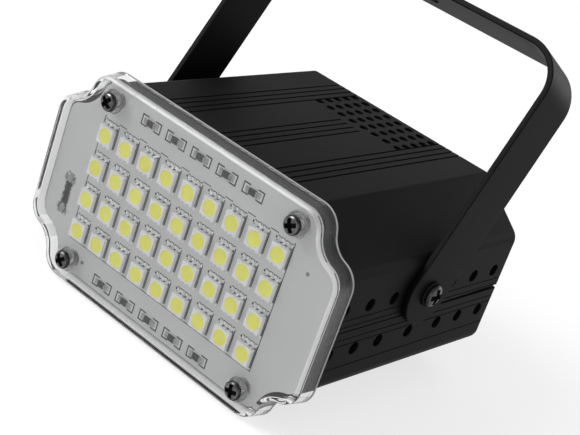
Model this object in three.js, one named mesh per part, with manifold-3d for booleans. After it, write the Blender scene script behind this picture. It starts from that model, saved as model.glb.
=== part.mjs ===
// A small LED strobe light: a black two-part housing, a clear front cover over a board of LEDs, and a
// U-shaped bracket. Millimetres. X points right, Y back and Z up, as seen from the front. The design frame
// has y = 0 on the cover's front face, x = 0 on the middle plane and z = 0 at the cover's centre.
// The finished group stands on z = 0.
import * as THREE from "three";
import { mergeVertices } from "three/addons/utils/BufferGeometryUtils.js";
import Module from "manifold-3d";

const wasm = await Module();
wasm.setup();

// Clearances
const seatGap = 0.1; // between pieces that rest on each other
const fitGap = 0.3; // around a piece that sits in a pocket or a rim
const overrun = 1; // how far a cut runs past the surface that it opens
const weldDistance = 1e-4;

// Clear front cover
const coverHalfWidth = 49;
const coverHalfHeight = 29.1;
const coverFaceWall = 1.8;
const coverSkirtWall = 1.8;
const skirtDepth = 6.3;
const coverEdgeRound = 1.2;
const coverDraft = 0.7; // how much smaller the outline is at the front edge than at the rear rim
const coverSideArcRadius = 6.2; // corner arc that runs into the side
const coverSideArcDrop = 15.9; // its centre below the cover's top edge
const coverTopArcRadius = 6.3; // corner arc that runs into the top
const coverTopArcInset = 15.5; // its centre inside the cover's side
const coverHollowRadius = 6.8; // the drawn-in arc between the two
const coverBossRadius = 2.9;

// Cover screws
const coverScrewSideInset = 17.4; // from the cover's side
const coverScrewTopInset = 6.4; // from its top and bottom edges
const coverScrewRadius = 1.4;
const coverScrewHeadRadius = 2.45;
const coverScrewHeadHeight = 1.5;
const coverScrewLength = 15;

// LED board and LEDs
const boardThickness = 1.6;
const boardFront = 4;
const ledPitchX = 7.57;
const ledPitchZ = 9.144;
const gridEndMargin = 14; // left free of LEDs at each side of the cover
const gridEdgeMargin = 10; // and along its top and bottom
const gridShiftX = -1.3; // the grid lies a little off the cover's centre
const gridShiftZ = -0.7;
const ledWidth = 5;
const ledBodyHeight = 5;
const ledThickness = 1.5;
const ledWindowRadius = 2.1;
const ledWindowDepth = 0.35;
const ledLeadWidth = 0.9;
const ledLeadReach = 0.3;
const ledLeadThickness = 0.8;
const ledLeadPitch = 1.6;
const ledLeadsPerSide = 3;
const resistorLength = 3.2;
const resistorWidth = 1.6;
const resistorThickness = 0.6;
const resistorPitch = 8.85;
const resistorTopInset = 6.8; // from the cover's top edge
const resistorBottomInset = 5.2;
const resistorShiftX = -1.8;
const solderJointInset = 9; // from the cover's left side
const solderJointUp = -7.9;
const solderJointPitch = 8.6;
const solderJointRadius = 1.3;
const solderJointHeight = 0.8;
const boardSlotWidth = 1.2; // the lead's ends come through it
const boardSlotLength = 5.6;

// Housing
const housingSideStep = 2.3; // how far its side lies inside the cover's side
const housingTopStep = 1.7; // and its top below the cover's top edge
const housingRear = 81.7;
const topSlopeDrop = 11.3; // height of the slope between the top and the side
const bottomSlopeRise = 14.1;
const slopeInset = 15.1; // width of both slopes
const shoulderRound = 3.5;
const ridgeRound = 1.5;
const rearRound = 0.6;
const housingWall = 2.2;
const seamHeight = 0.3;
const seamGap = 0.6;
const tongueHeight = 1.6;
const grooveWidth = 0.7;
const grooveDepth = 0.5;
const topGroovesPerGroup = 4;
const topGroovePitch = 2.3;
const topGrooveInset = 13.1; // from the top's edge to the middle of an outer group
const topGrooveFront = 9;
const middleGrooveGap = 3.65; // between the middle group's end and the first vents
const sideLineWidth = 0.4;
const sideLineDepth = 0.25;
const sideLineHeights = { upper: [1.7, 3.6], lower: [-2, -3.7, -10.2] };

// Vent holes in the top
const ventRadius = 1.25;
const ventPitch = 4;
const ventColumns = 8;
const ventRows = 5;
const ventBlockDepth = 19.55; // from the first row of vents to the housing's rear

// Holes along the sides, counted from the pivot
const pivotDepth = 42.95;
const pivotHeight = 6.45;
const sideHoleRadius = 1.72;
const sideHoleOffsets = [13, 23, 33];
const lowerSideHoleHeight = -5.7;

// Posts, bosses and pockets inside the shells
const postRadius = 3.2;
const postLength = 14;
const nutPocketWall = 1.8;
const shellScrewDepth = 50;
const shellScrewRadius = 1.4;
const shellScrewHeadRadius = 2.8;
const shellScrewHeadHeight = 1.5;
const shellScrewLength = 16;
const shellBossRadius = 4.4;
const shellBossFloor = 4; // material under the screw's head, above the base
const shellPostRadius = 3;
const standoffRadius = 2.6;
const standoffHeight = 5;
const standoffPinRadius = 1.2;
const standoffPinRise = 1;

// Bracket
const bracketWall = 1.6;
const bracketWidth = 17.7;
const bracketReach = 65.2; // from the pivot to the crossbar's inner face
const bracketBend = 10; // inner radius of its two bends
const bracketSideGap = 0.2;
const bracketTilt = 27; // degrees back from upright
const bracketHoleRadius = 3.5;

// Pivot screws, washers and nuts
const pivotScrewRadius = 1.5;
const pivotScrewHeadRadius = 3;
const pivotScrewHeadHeight = 1.6;
const pivotScrewLength = 9;
const pivotHoleRadius = 1.72;
const washerRadius = 3.5;
const washerThickness = 0.5;
const nutAcross = 5.5;
const nutThickness = 2.4;
const nutHoleRadius = 1.72;

// Driver board and what stands on it
const driverSideGap = 8.5; // between the board and the side walls
const driverFront = 22;
const driverRearGap = 7.5;
const driverThickness = 1.6;
const driverPinInset = 8;
const driverPinHoleRadius = 1.5;
const capacitorRadius = 5;
const capacitorHeight = 16;
const capacitorInset = 16; // each of these insets is from the board's left or right edge
const capacitorDepth = 38;
const capacitorRound = 0.8;
const filmWidth = 18;
const filmDepth = 8;
const filmHeight = 13;
const filmInset = 16;
const filmBack = 40;
const powerWidth = 10;
const powerDepth = 4.5;
const powerHeight = 15;
const powerInset = 14;
const powerBack = 57;
const chipWidth = 6;
const chipDepth = 8;
const chipHeight = 3;
const chipInset = 20;
const chipBack = 60;

// Speed control in the rear wall
const controlInset = 14.6; // from the edge of the housing's flat top
const controlDrop = 15.9; // below the housing's top
const controlBodyRadius = 8;
const controlBodyDepth = 9;
const controlNeckRadius = 3.5;
const controlNeckLength = 6;
const controlBoreRadius = 3.15;
const controlBoreDepth = 5;
const controlNutAcross = 10;
const controlNutThickness = 2;
const shaftRadius = 3;
const knobRadius = 7;
const knobHeight = 11.5;
const knobWallGap = 0.8; // between the knob and the housing's rear wall
const knobRound = 1;
const knobSkirtRadius = 6.2;
const knobBottom = 1; // material over the end of the shaft
const knobFlutes = 12;
const knobFluteRadius = 1;
const knobPointerWidth = 0.8;
const knobPointerDepth = 0.4;

// Cord gland in the rear wall
const glandInset = 11.6; // from the edge of the housing's flat top
const glandRise = 18.1; // above the base
const glandNeckRadius = 4.2;
const glandFlangeRadius = 6;
const glandFlangeThickness = 1.5;
const glandTailRadius = 4.8;
const glandTailEndRadius = 3.8;
const glandTailLength = 11;
const glandBarbRadius = 5;
const glandBarbLength = 2;
const glandBoreRadius = 2.5;

// Lead to the LED board
const leadHalfWidth = 1.3;
const leadHalfThickness = 0.7;
const leadSteps = 12;
const leadInset = 6; // from the driver board's left edge
const leadDriverDepth = 33;
const leadFirstBend = 6;

// Cross recess in the screw heads, as shares of the head
const recessReachShare = 0.68;
const recessWidthShare = 0.22;
const recessDepthShare = 0.6;
const headCrownShare = 0.45;

// Segment counts
const arcSteps = 4;
const smallArcSteps = 2;
const ventSegments = 8;
const ledWindowSegments = 10;
const leadSegments = 4;
const fluteSegments = 6;
const holeSegments = 12;
const roundSegments = 16;
const wideSegments = 24;
const sixSides = 6;

// Places that follow from the sizes above
const baseHeight = -coverHalfHeight; // the housing's underside is level with the cover's lower edge
const coverSideArcHeight = coverHalfHeight - coverSideArcDrop;
const coverTopArcOut = coverHalfWidth - coverTopArcInset;
const coverScrewOut = coverHalfWidth - coverScrewSideInset;
const coverScrewUp = coverHalfHeight - coverScrewTopInset;
const ledColumns = Math.floor((2 * (coverHalfWidth - gridEndMargin)) / ledPitchX);
const ledRows = Math.floor((2 * (coverHalfHeight - gridEdgeMargin)) / ledPitchZ);
const resistorSpan = 2 * (coverScrewOut - coverBossRadius - resistorLength);
const resistorsPerRow = Math.floor(resistorSpan / resistorPitch);
const resistorRowUp = coverHalfHeight - resistorTopInset;
const resistorRowDown = coverHalfHeight - resistorBottomInset;
const solderJointOut = coverHalfWidth - solderJointInset; // left of the middle
const housingHalfWidth = coverHalfWidth - housingSideStep;
const housingTop = coverHalfHeight - housingTopStep;
const shoulderUp = housingTop - topSlopeDrop; // where the side wall would meet the upper slope
const shoulderDown = baseHeight + bottomSlopeRise;
const topFlatHalfWidth = housingHalfWidth - slopeInset;
const topGrooveGroupOut = topFlatHalfWidth - topGrooveInset;
const firstVentRow = housingRear - ventBlockDepth;
const middleGrooveBack = firstVentRow - middleGrooveGap;
const boardBack = boardFront + boardThickness;
const housingFront = boardBack + fitGap;
const housingShoulderFront = skirtDepth + fitGap;
const bottomFlatHalfWidth = topFlatHalfWidth;
const innerRear = housingRear - housingWall;
const innerFloor = baseHeight + housingWall;
const innerTop = housingTop - housingWall;
const innerHalfWidth = housingHalfWidth - housingWall;
const seamTop = seamHeight + seamGap / 2;
const seamBottom = seamHeight - seamGap / 2;
const armInner = housingHalfWidth + bracketSideGap;
const armOuter = armInner + bracketWall;
const washerInner = armOuter + seatGap;
const washerOuter = washerInner + washerThickness;
const pivotScrewSeat = washerOuter + seatGap;
const nutOuter = innerHalfWidth - seatGap;
const driverHalfWidth = innerHalfWidth - driverSideGap;
const driverRear = innerRear - driverRearGap;
const driverBottom = innerFloor + standoffHeight + seatGap;
const driverTop = driverBottom + driverThickness;
const capacitorOut = capacitorInset - driverHalfWidth;
const filmOut = driverHalfWidth - filmInset;
const powerOut = driverHalfWidth - powerInset;
const chipOut = chipInset - driverHalfWidth;
const leadDriverOut = leadInset - driverHalfWidth;
const controlOut = controlInset - topFlatHalfWidth;
const controlUp = housingTop - controlDrop;
const glandOut = topFlatHalfWidth - glandInset;
const glandUp = baseHeight + glandRise;
const controlBodyRear = innerRear - seatGap;
const controlNeckRear = controlBodyRear + controlNeckLength;
const controlNutFront = housingRear + seatGap;
const shaftFront = controlBodyRear - controlBoreDepth + fitGap;
const knobFront = housingRear + knobWallGap;
const knobRear = knobFront + knobHeight;
const knobSkirtDepth = controlNeckRear + fitGap - knobFront; // the open end goes over the nut and the neck
const shaftRear = knobRear - knobBottom - fitGap;
const screwHeadFront = -(seatGap + coverScrewHeadHeight);

// Materials
const paint = (color, roughness, metalness) =>
  new THREE.MeshStandardMaterial({ color, roughness, metalness, flatShading: true });
const housingPlastic = paint(0x1b1b1c, 0.5, 0);
const bracketPaint = paint(0x1d1d1e, 0.45, 0.1);
const boardWhite = paint(0xd2d3d2, 0.6, 0);
const ledPackage = paint(0xe9e9f0, 0.5, 0);
const blackSteel = paint(0x2a2a2c, 0.35, 0.8);
const brightSteel = paint(0xc4c4c6, 0.25, 1);
const driverGreen = paint(0x2f5a3a, 0.6, 0);
const capacitorSleeve = paint(0x1f2a44, 0.4, 0);
const controlMetal = paint(0x9b9b9d, 0.35, 0.9);
const knobPlastic = paint(0x222223, 0.5, 0);
const rubberBlack = paint(0x161616, 0.8, 0);
const leadWhite = paint(0xe6e4de, 0.6, 0);
const clearPlastic = new THREE.MeshStandardMaterial({
  color: 0xf2f5f6,
  roughness: 0.08,
  metalness: 0,
  transparent: true,
  opacity: 0.3,
});

// A geometry as a solid that can be joined and cut.
function solidFrom(geometry) {
  const bare = geometry.index ? geometry.toNonIndexed() : geometry.clone();
  bare.deleteAttribute("normal");
  bare.deleteAttribute("uv");
  const merged = mergeVertices(bare, weldDistance);
  const vertProperties = merged.attributes.position.array;
  const triVerts = new Uint32Array(merged.index.array);
  return new wasm.Manifold(new wasm.Mesh({ numProp: 3, vertProperties, triVerts }));
}

// A solid as a geometry again.
function geometryFrom(solid) {
  const { vertProperties, triVerts } = solid.getMesh();
  const geometry = new THREE.BufferGeometry();
  geometry.setAttribute("position", new THREE.BufferAttribute(vertProperties, 3));
  geometry.setIndex(new THREE.BufferAttribute(triVerts, 1));
  geometry.computeVertexNormals();
  return geometry;
}

const joined = (solids) => solids.reduce((sum, solid) => sum.add(solid));
const without = (solid, cuts) => solid.subtract(joined(cuts));

// A box between two corners.
function box([x0, x1], [y0, y1], [z0, z1]) {
  const geometry = new THREE.BoxGeometry(x1 - x0, y1 - y0, z1 - z0);
  return solidFrom(geometry.translate((x0 + x1) / 2, (y0 + y1) / 2, (z0 + z1) / 2));
}

// A round bar along one axis, through the point that the other two places give.
function bar(axis, radius, [from, to], [first, second], segments) {
  const geometry = new THREE.CylinderGeometry(radius, radius, to - from, segments);
  const middle = (from + to) / 2;
  if (axis === "x") geometry.rotateZ(Math.PI / 2).translate(middle, first, second);
  if (axis === "y") geometry.translate(first, middle, second);
  if (axis === "z") geometry.rotateX(Math.PI / 2).translate(first, second, middle);
  return solidFrom(geometry);
}

// A round cut of the same kind, whose flats lie on the circle so that a bar of that radius still fits it.
function bore(axis, radius, ends, place, segments) {
  return bar(axis, radius / Math.cos(Math.PI / segments), ends, place, segments);
}

// A turned piece about the Y axis. The profile runs counterclockwise in radius and height.
function turned(profile, segments) {
  const points = profile.map(([radius, height]) => new THREE.Vector2(radius, height));
  return solidFrom(new THREE.LatheGeometry(points, segments));
}

// An outline in X and Z made solid between two depths.
function alongY(shape, from, to) {
  const geometry = new THREE.ExtrudeGeometry(shape, { depth: to - from, bevelEnabled: false });
  return solidFrom(geometry.rotateX(Math.PI / 2).translate(0, to, 0));
}

// The same with both end edges rounded, staying inside the outline.
function roundedAlongY(shape, from, to, round) {
  const geometry = new THREE.ExtrudeGeometry(shape, {
    depth: to - from - 2 * round,
    bevelThickness: round,
    bevelSize: round,
    bevelOffset: -round,
    bevelSegments: smallArcSteps,
  });
  return solidFrom(geometry.rotateX(Math.PI / 2).translate(0, to - round, 0));
}

// A closed solid through rings of as many points each, from back to front, with flat ends.
function lofted(rings) {
  const count = rings[0].length;
  const positions = rings.flat().flatMap((p) => [p.x, p.y, p.z]);
  const faces = [];
  for (let ring = 0; ring + 1 < rings.length; ring++)
    for (let i = 0; i < count; i++) {
      const [a, b] = [ring * count + i, ring * count + ((i + 1) % count)];
      faces.push(a, b, a + count, b, b + count, a + count);
    }
  const flat = rings[0].map((p) => new THREE.Vector2(p.x, p.z));
  const last = (rings.length - 1) * count;
  for (const [a, b, c] of THREE.ShapeUtils.triangulateShape(flat, []))
    faces.push(a, c, b, last + a, last + b, last + c);
  const geometry = new THREE.BufferGeometry();
  geometry.setAttribute("position", new THREE.Float32BufferAttribute(positions, 3));
  geometry.setIndex(faces);
  return solidFrom(geometry);
}

// The points of an outline whose corners, given as x, y and radius, are rounded by arcs.
function roundedOutline(corners) {
  const places = corners.map(([x, y]) => new THREE.Vector2(x, y));
  const points = corners.flatMap(([, , radius], i) => {
    const corner = places[i];
    if (!radius) return [corner];
    const toLast = places.at(i - 1).clone().sub(corner).normalize();
    const toNext = places[(i + 1) % places.length].clone().sub(corner).normalize();
    const halfAngle = Math.acos(toLast.dot(toNext)) / 2;
    const start = corner.clone().addScaledVector(toLast, radius / Math.tan(halfAngle));
    const inward = toLast.clone().add(toNext).normalize();
    const centre = corner.clone().addScaledVector(inward, radius / Math.sin(halfAngle));
    const turn = Math.sign(toLast.cross(toNext)) * (2 * halfAngle - Math.PI);
    return Array.from({ length: arcSteps + 1 }, (_, step) =>
      start.clone().rotateAround(centre, (turn * step) / arcSteps),
    );
  });
  return new THREE.Shape(points);
}

// The same corners with every side moved inward.
function inset(corners, distance) {
  const places = corners.map(([x, y]) => new THREE.Vector2(x, y));
  const inwardNormal = (i) => {
    const side = places[(i + 1) % places.length].clone().sub(places[i]).normalize();
    return new THREE.Vector2(-side.y, side.x);
  };
  return corners.map(([x, y, radius], i) => {
    const last = inwardNormal((i + places.length - 1) % places.length);
    const next = inwardNormal(i);
    const shift = distance / (1 + last.dot(next));
    const moved = last.add(next).multiplyScalar(shift);
    return [x + moved.x, y + moved.y, Math.max(radius - distance, 0)];
  });
}

// The cover's outline, moved inward by a distance: two arcs at each corner with a hollow arc between them.
function coverOutline(distance) {
  const sideCentre = new THREE.Vector2(coverHalfWidth - coverSideArcRadius, coverSideArcHeight);
  const topCentre = new THREE.Vector2(coverTopArcOut, coverHalfHeight - coverTopArcRadius);
  const toSide = coverSideArcRadius + coverHollowRadius;
  const toTop = coverTopArcRadius + coverHollowRadius;
  const base = topCentre.clone().sub(sideCentre);
  const along = (toSide ** 2 - toTop ** 2 + base.lengthSq()) / (2 * base.length());
  const across = Math.sqrt(toSide ** 2 - along ** 2);
  const unit = base.clone().normalize();
  const hollowCentre = sideCentre
    .clone()
    .addScaledVector(unit, along)
    .add(new THREE.Vector2(unit.y, -unit.x).multiplyScalar(across));
  const sideAngle = hollowCentre.clone().sub(sideCentre).angle();
  const topAngle = hollowCentre.clone().sub(topCentre).angle();
  const arc = (centre, radius, from, to) =>
    Array.from({ length: arcSteps + 1 }, (_, step) => {
      const angle = from + ((to - from) * step) / arcSteps;
      return new THREE.Vector2(Math.cos(angle), Math.sin(angle)).multiplyScalar(radius).add(centre);
    });
  const corner = [
    ...arc(sideCentre, coverSideArcRadius - distance, 0, sideAngle),
    ...arc(
      hollowCentre,
      coverHollowRadius + distance,
      sideAngle + Math.PI,
      topAngle + Math.PI,
    ).slice(1, -1),
    ...arc(topCentre, coverTopArcRadius - distance, topAngle, Math.PI / 2),
  ];
  const mirrored = corner.map((p) => new THREE.Vector2(-p.x, p.y)).reverse();
  const upper = [...corner, ...mirrored];
  return new THREE.Shape([...upper, ...upper.map((p) => new THREE.Vector2(-p.x, -p.y))]);
}

// The housing's corners, counterclockwise from the lower right.
const housingCorners = [
  [bottomFlatHalfWidth, baseHeight, ridgeRound],
  [housingHalfWidth, shoulderDown, shoulderRound],
  [housingHalfWidth, shoulderUp, shoulderRound],
  [topFlatHalfWidth, housingTop, ridgeRound],
  [-topFlatHalfWidth, housingTop, ridgeRound],
  [-housingHalfWidth, shoulderUp, shoulderRound],
  [-housingHalfWidth, shoulderDown, shoulderRound],
  [-bottomFlatHalfWidth, baseHeight, ridgeRound],
];

const wide = [-coverHalfWidth - overrun, coverHalfWidth + overrun];
const deep = [-overrun, housingRear + overrun];
const sides = [
  ["left", -1],
  ["right", 1],
];

// The whole housing as a thin box, open at the front, before the seam divides it.
function housingWalls(thickness) {
  const rounded = roundedOutline(housingCorners);
  const full = roundedAlongY(rounded, housingFront - rearRound - overrun, housingRear, rearRound);
  const behindRim = box(wide, [housingShoulderFront, housingRear + overrun], [
    baseHeight - overrun,
    housingTop + overrun,
  ]);
  const rim = coverSkirtWall + draftAt(housingFront) + fitGap;
  const insideRim = alongY(coverOutline(rim), housingFront, housingRear);
  const outside = full.intersect(behindRim.add(insideRim));
  const hollow = roundedOutline(inset(housingCorners, thickness));
  return outside.subtract(alongY(hollow, housingFront - overrun, housingRear - thickness));
}

// The ring of the housing's wall between two distances from its outer face.
function wallRing(outerInset, innerInset) {
  const ring = (distance) =>
    alongY(
      roundedOutline(inset(housingCorners, distance)),
      housingFront - overrun,
      housingRear - distance,
    );
  return ring(outerInset).subtract(ring(innerInset));
}

// Holes through both side walls at one height.
const sideHoles = (height, depths) =>
  depths.map((depth) => bore("x", sideHoleRadius, wide, [depth, height], holeSegments));

// Fine lines along both side walls.
function sideLines(heights) {
  return heights.flatMap((height) =>
    sides.map(([, side]) => {
      const outer = side * (housingHalfWidth + overrun);
      const inner = side * (housingHalfWidth - sideLineDepth);
      return box(
        [Math.min(outer, inner), Math.max(outer, inner)],
        deep,
        [height - sideLineWidth / 2, height + sideLineWidth / 2],
      );
    }),
  );
}

const holeDepthsBehind = sideHoleOffsets.map((offset) => pivotDepth + offset);
const holeDepthsAhead = sideHoleOffsets.map((offset) => pivotDepth - offset);

// A bored post behind the LED board for one cover screw.
function coverScrewPost(x, z) {
  return bar("y", postRadius, [housingFront, housingFront + postLength], [x, z], roundSegments);
}

function coverScrewBores(z) {
  return sides.map(([, side]) =>
    bore(
      "y",
      coverScrewRadius + seatGap,
      [housingFront - overrun, coverScrewLength + overrun],
      [side * coverScrewOut, z],
      holeSegments,
    ),
  );
}

// The walls that keep a pivot nut from turning, on the inside of one side wall.
function nutPocket(side) {
  const half = nutAcross / 2 + fitGap;
  const outerHalf = half + nutPocketWall;
  const outer = side * (innerHalfWidth + housingWall / 2);
  const inner = side * (nutOuter - nutThickness);
  const across = [Math.min(outer, inner), Math.max(outer, inner)];
  const block = box(
    across,
    [pivotDepth - outerHalf, pivotDepth + outerHalf],
    [pivotHeight - half, pivotHeight + outerHalf],
  );
  const reach = side * innerHalfWidth;
  const space = [Math.min(reach, inner - side * overrun), Math.max(reach, inner - side * overrun)];
  const pocket = box(space, [pivotDepth - half, pivotDepth + half], [
    pivotHeight - half - overrun,
    pivotHeight + nutAcross / 2 / Math.cos(Math.PI / sixSides) + fitGap,
  ]);
  return block.subtract(pocket);
}

// Fine grooves along the top, in three groups.
function topGrooves() {
  const groups = [
    [-topGrooveGroupOut, deep[1]],
    [0, middleGrooveBack],
    [topGrooveGroupOut, deep[1]],
  ];
  return groups.flatMap(([middle, back]) =>
    Array.from({ length: topGroovesPerGroup }, (_, i) => {
      const x = middle + (i - (topGroovesPerGroup - 1) / 2) * topGroovePitch;
      return box(
        [x - grooveWidth / 2, x + grooveWidth / 2],
        [topGrooveFront, back],
        [housingTop - grooveDepth, housingTop + overrun],
      );
    }),
  );
}

function topVents() {
  const vents = [];
  for (let row = 0; row < ventRows; row++)
    for (let column = 0; column < ventColumns; column++) {
      const x = (column - (ventColumns - 1) / 2) * ventPitch;
      const y = firstVentRow + row * ventPitch;
      const through = [innerTop - overrun, housingTop + overrun];
      vents.push(bore("z", ventRadius, through, [x, y], ventSegments));
    }
  return vents;
}

function upperShell(walls) {
  const above = box(wide, deep, [seamTop, housingTop + overrun]);
  const rebate = wallRing(housingWall / 2, housingWall + overrun).intersect(
    box(wide, deep, [seamBottom, seamTop + tongueHeight]),
  );
  const shellPost = bar(
    "z",
    shellPostRadius,
    [seamTop, housingTop - housingWall / 2],
    [0, shellScrewDepth],
    roundSegments,
  );
  const inside = [
    ...sides.map(([, side]) => coverScrewPost(side * coverScrewOut, coverScrewUp)),
    ...sides.map(([, side]) => nutPocket(side)),
    shellPost,
  ];
  const shell = joined([walls.intersect(above).subtract(rebate), ...inside]);
  const shellScrewTip = baseHeight + shellBossFloor + shellScrewLength;
  return without(shell, [
    ...topGrooves(),
    ...topVents(),
    ...sideLines(sideLineHeights.upper),
    ...sideHoles(pivotHeight, [...holeDepthsAhead, ...holeDepthsBehind]),
    bore("x", pivotHoleRadius, wide, [pivotDepth, pivotHeight], holeSegments),
    ...coverScrewBores(coverScrewUp),
    bore(
      "z",
      shellScrewRadius + seatGap,
      [seamBottom, shellScrewTip + overrun],
      [0, shellScrewDepth],
      holeSegments,
    ),
    bore(
      "y",
      controlNeckRadius + seatGap,
      [innerRear - overrun, deep[1]],
      [controlOut, controlUp],
      holeSegments,
    ),
  ]);
}

// The four places where the driver board is pinned.
const driverPins = sides.flatMap(([, side]) => [
  [side * (driverHalfWidth - driverPinInset), driverFront + driverPinInset],
  [side * (driverHalfWidth - driverPinInset), driverRear - driverPinInset],
]);

function lowerShell(walls) {
  const below = box(wide, deep, [baseHeight - overrun, seamBottom]);
  const tongue = wallRing(housingWall / 2 + fitGap, housingWall).intersect(
    box(wide, [housingShoulderFront, housingRear], [
      seamBottom - housingWall,
      seamTop + tongueHeight - fitGap,
    ]),
  );
  const standoffs = driverPins.flatMap((place) => [
    bar(
      "z",
      standoffRadius,
      [baseHeight + housingWall / 2, innerFloor + standoffHeight],
      place,
      roundSegments,
    ),
    bar("z", standoffPinRadius, [innerFloor, driverTop + standoffPinRise], place, holeSegments),
  ]);
  const boss = bar(
    "z",
    shellBossRadius,
    [baseHeight + housingWall / 2, seamBottom],
    [0, shellScrewDepth],
    roundSegments,
  );
  const inside = [
    ...sides.map(([, side]) => coverScrewPost(side * coverScrewOut, -coverScrewUp)),
    ...standoffs,
    boss,
  ];
  const shell = joined([walls.intersect(below), tongue, ...inside]);
  return without(shell, [
    ...sideLines(sideLineHeights.lower),
    ...sideHoles(lowerSideHoleHeight, [...holeDepthsAhead, pivotDepth, ...holeDepthsBehind]),
    ...coverScrewBores(-coverScrewUp),
    bore(
      "z",
      shellScrewRadius + seatGap,
      [baseHeight - overrun, seamTop],
      [0, shellScrewDepth],
      holeSegments,
    ),
    bore(
      "z",
      shellScrewHeadRadius + fitGap,
      [baseHeight - overrun, baseHeight + shellBossFloor],
      [0, shellScrewDepth],
      roundSegments,
    ),
    bore(
      "y",
      glandNeckRadius + fitGap,
      [innerRear - overrun, deep[1]],
      [glandOut, glandUp],
      roundSegments,
    ),
  ]);
}

const coverScrewPlaces = [
  ["upper_left", -coverScrewOut, coverScrewUp],
  ["upper_right", coverScrewOut, coverScrewUp],
  ["lower_left", -coverScrewOut, -coverScrewUp],
  ["lower_right", coverScrewOut, -coverScrewUp],
];

// How far the cover's side lies inside its rear rim at a depth.
const draftAt = (depth) => (coverDraft * (skirtDepth - depth)) / (skirtDepth - coverEdgeRound);

// The cover's outline at each depth and distance inside the rear rim, from back to front, made solid.
function coverLoft(levels) {
  const rings = levels.map(([depth, distance]) =>
    coverOutline(distance)
      .getPoints()
      .map((p) => new THREE.Vector3(p.x, depth, p.y)),
  );
  return lofted(rings);
}

function frontCover() {
  const edge = Array.from({ length: arcSteps + 1 }, (_, step) => {
    const angle = (step * Math.PI) / 2 / arcSteps;
    return [
      coverEdgeRound * (1 - Math.sin(angle)),
      coverDraft + coverEdgeRound * (1 - Math.cos(angle)),
    ];
  });
  const front = coverLoft([[skirtDepth, 0], ...edge]);
  const wallAt = (depth) => [depth, coverSkirtWall + draftAt(depth)];
  const hollow = coverLoft([wallAt(skirtDepth + overrun), wallAt(coverFaceWall)]);
  const bosses = coverScrewPlaces.map(([, x, z]) =>
    bar("y", coverBossRadius, [coverFaceWall / 2, boardFront - seatGap], [x, z], roundSegments),
  );
  const bores = coverScrewPlaces.map(([, x, z]) =>
    bore("y", coverScrewRadius + fitGap, [-overrun, boardFront], [x, z], holeSegments),
  );
  return without(joined([front.subtract(hollow), ...bosses]), bores);
}

function ledBoard() {
  const rim = coverSkirtWall + draftAt(boardFront) + fitGap;
  const board = alongY(coverOutline(rim), boardFront, boardBack);
  const middle = boardFront + boardThickness / 2;
  const resistors = [resistorRowUp, -resistorRowDown].flatMap((z) =>
    Array.from({ length: resistorsPerRow }, (_, i) => {
      const x = resistorShiftX + (i - (resistorsPerRow - 1) / 2) * resistorPitch;
      return box(
        [x - resistorLength / 2, x + resistorLength / 2],
        [boardFront - resistorThickness, middle],
        [z - resistorWidth / 2, z + resistorWidth / 2],
      );
    }),
  );
  const joints = sides.map(([, side]) =>
    bar(
      "y",
      solderJointRadius,
      [boardFront - solderJointHeight, middle],
      [-solderJointOut, solderJointUp + (side * solderJointPitch) / 2],
      holeSegments,
    ),
  );
  const slot = box(
    [-solderJointOut - boardSlotWidth / 2, -solderJointOut + boardSlotWidth / 2],
    [0, housingFront],
    [solderJointUp - boardSlotLength / 2, solderJointUp + boardSlotLength / 2],
  );
  const holes = coverScrewPlaces.map(([, x, z]) =>
    bore("y", coverScrewRadius + fitGap, [0, housingFront], [x, z], holeSegments),
  );
  return without(joined([board, ...resistors, ...joints]), [slot, ...holes]);
}

// One LED, with the middle of its back at the origin and its window towards -Y.
function led() {
  const halfWidth = ledWidth / 2;
  const halfHeight = ledBodyHeight / 2;
  const body = box([-halfWidth, halfWidth], [-ledThickness, 0], [-halfHeight, halfHeight]);
  const reach = halfHeight + ledLeadReach;
  const leads = Array.from({ length: ledLeadsPerSide }, (_, i) => {
    const x = (i - (ledLeadsPerSide - 1) / 2) * ledLeadPitch;
    return box([x - ledLeadWidth / 2, x + ledLeadWidth / 2], [-ledLeadThickness, 0], [-reach, reach]);
  });
  const windowCut = bore(
    "y",
    ledWindowRadius,
    [-ledThickness - overrun, -ledThickness + ledWindowDepth],
    [0, 0],
    ledWindowSegments,
  );
  return joined([body, ...leads]).subtract(windowCut);
}

// A pan-head screw with a cross recess. Its head points to -Y and rests on y = 0.
function panScrew(radius, length, headRadius, headHeight) {
  const crown = headHeight * headCrownShare;
  const profile = [
    [0, -headHeight],
    [headRadius - crown, -headHeight],
    [headRadius - crown * Math.sin(Math.PI / 6), -headHeight + crown / 2],
    [headRadius, -headHeight + crown],
    [headRadius, 0],
    [radius, 0],
    [radius, length - radius],
    [0, length],
  ];
  const reach = headRadius * recessReachShare;
  const half = (headRadius * recessWidthShare) / 2;
  const depth = [-headHeight - overrun, -headHeight + headHeight * recessDepthShare];
  return without(turned(profile, holeSegments), [
    box([-reach, reach], depth, [-half, half]),
    box([-half, half], depth, [-reach, reach]),
  ]);
}

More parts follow.
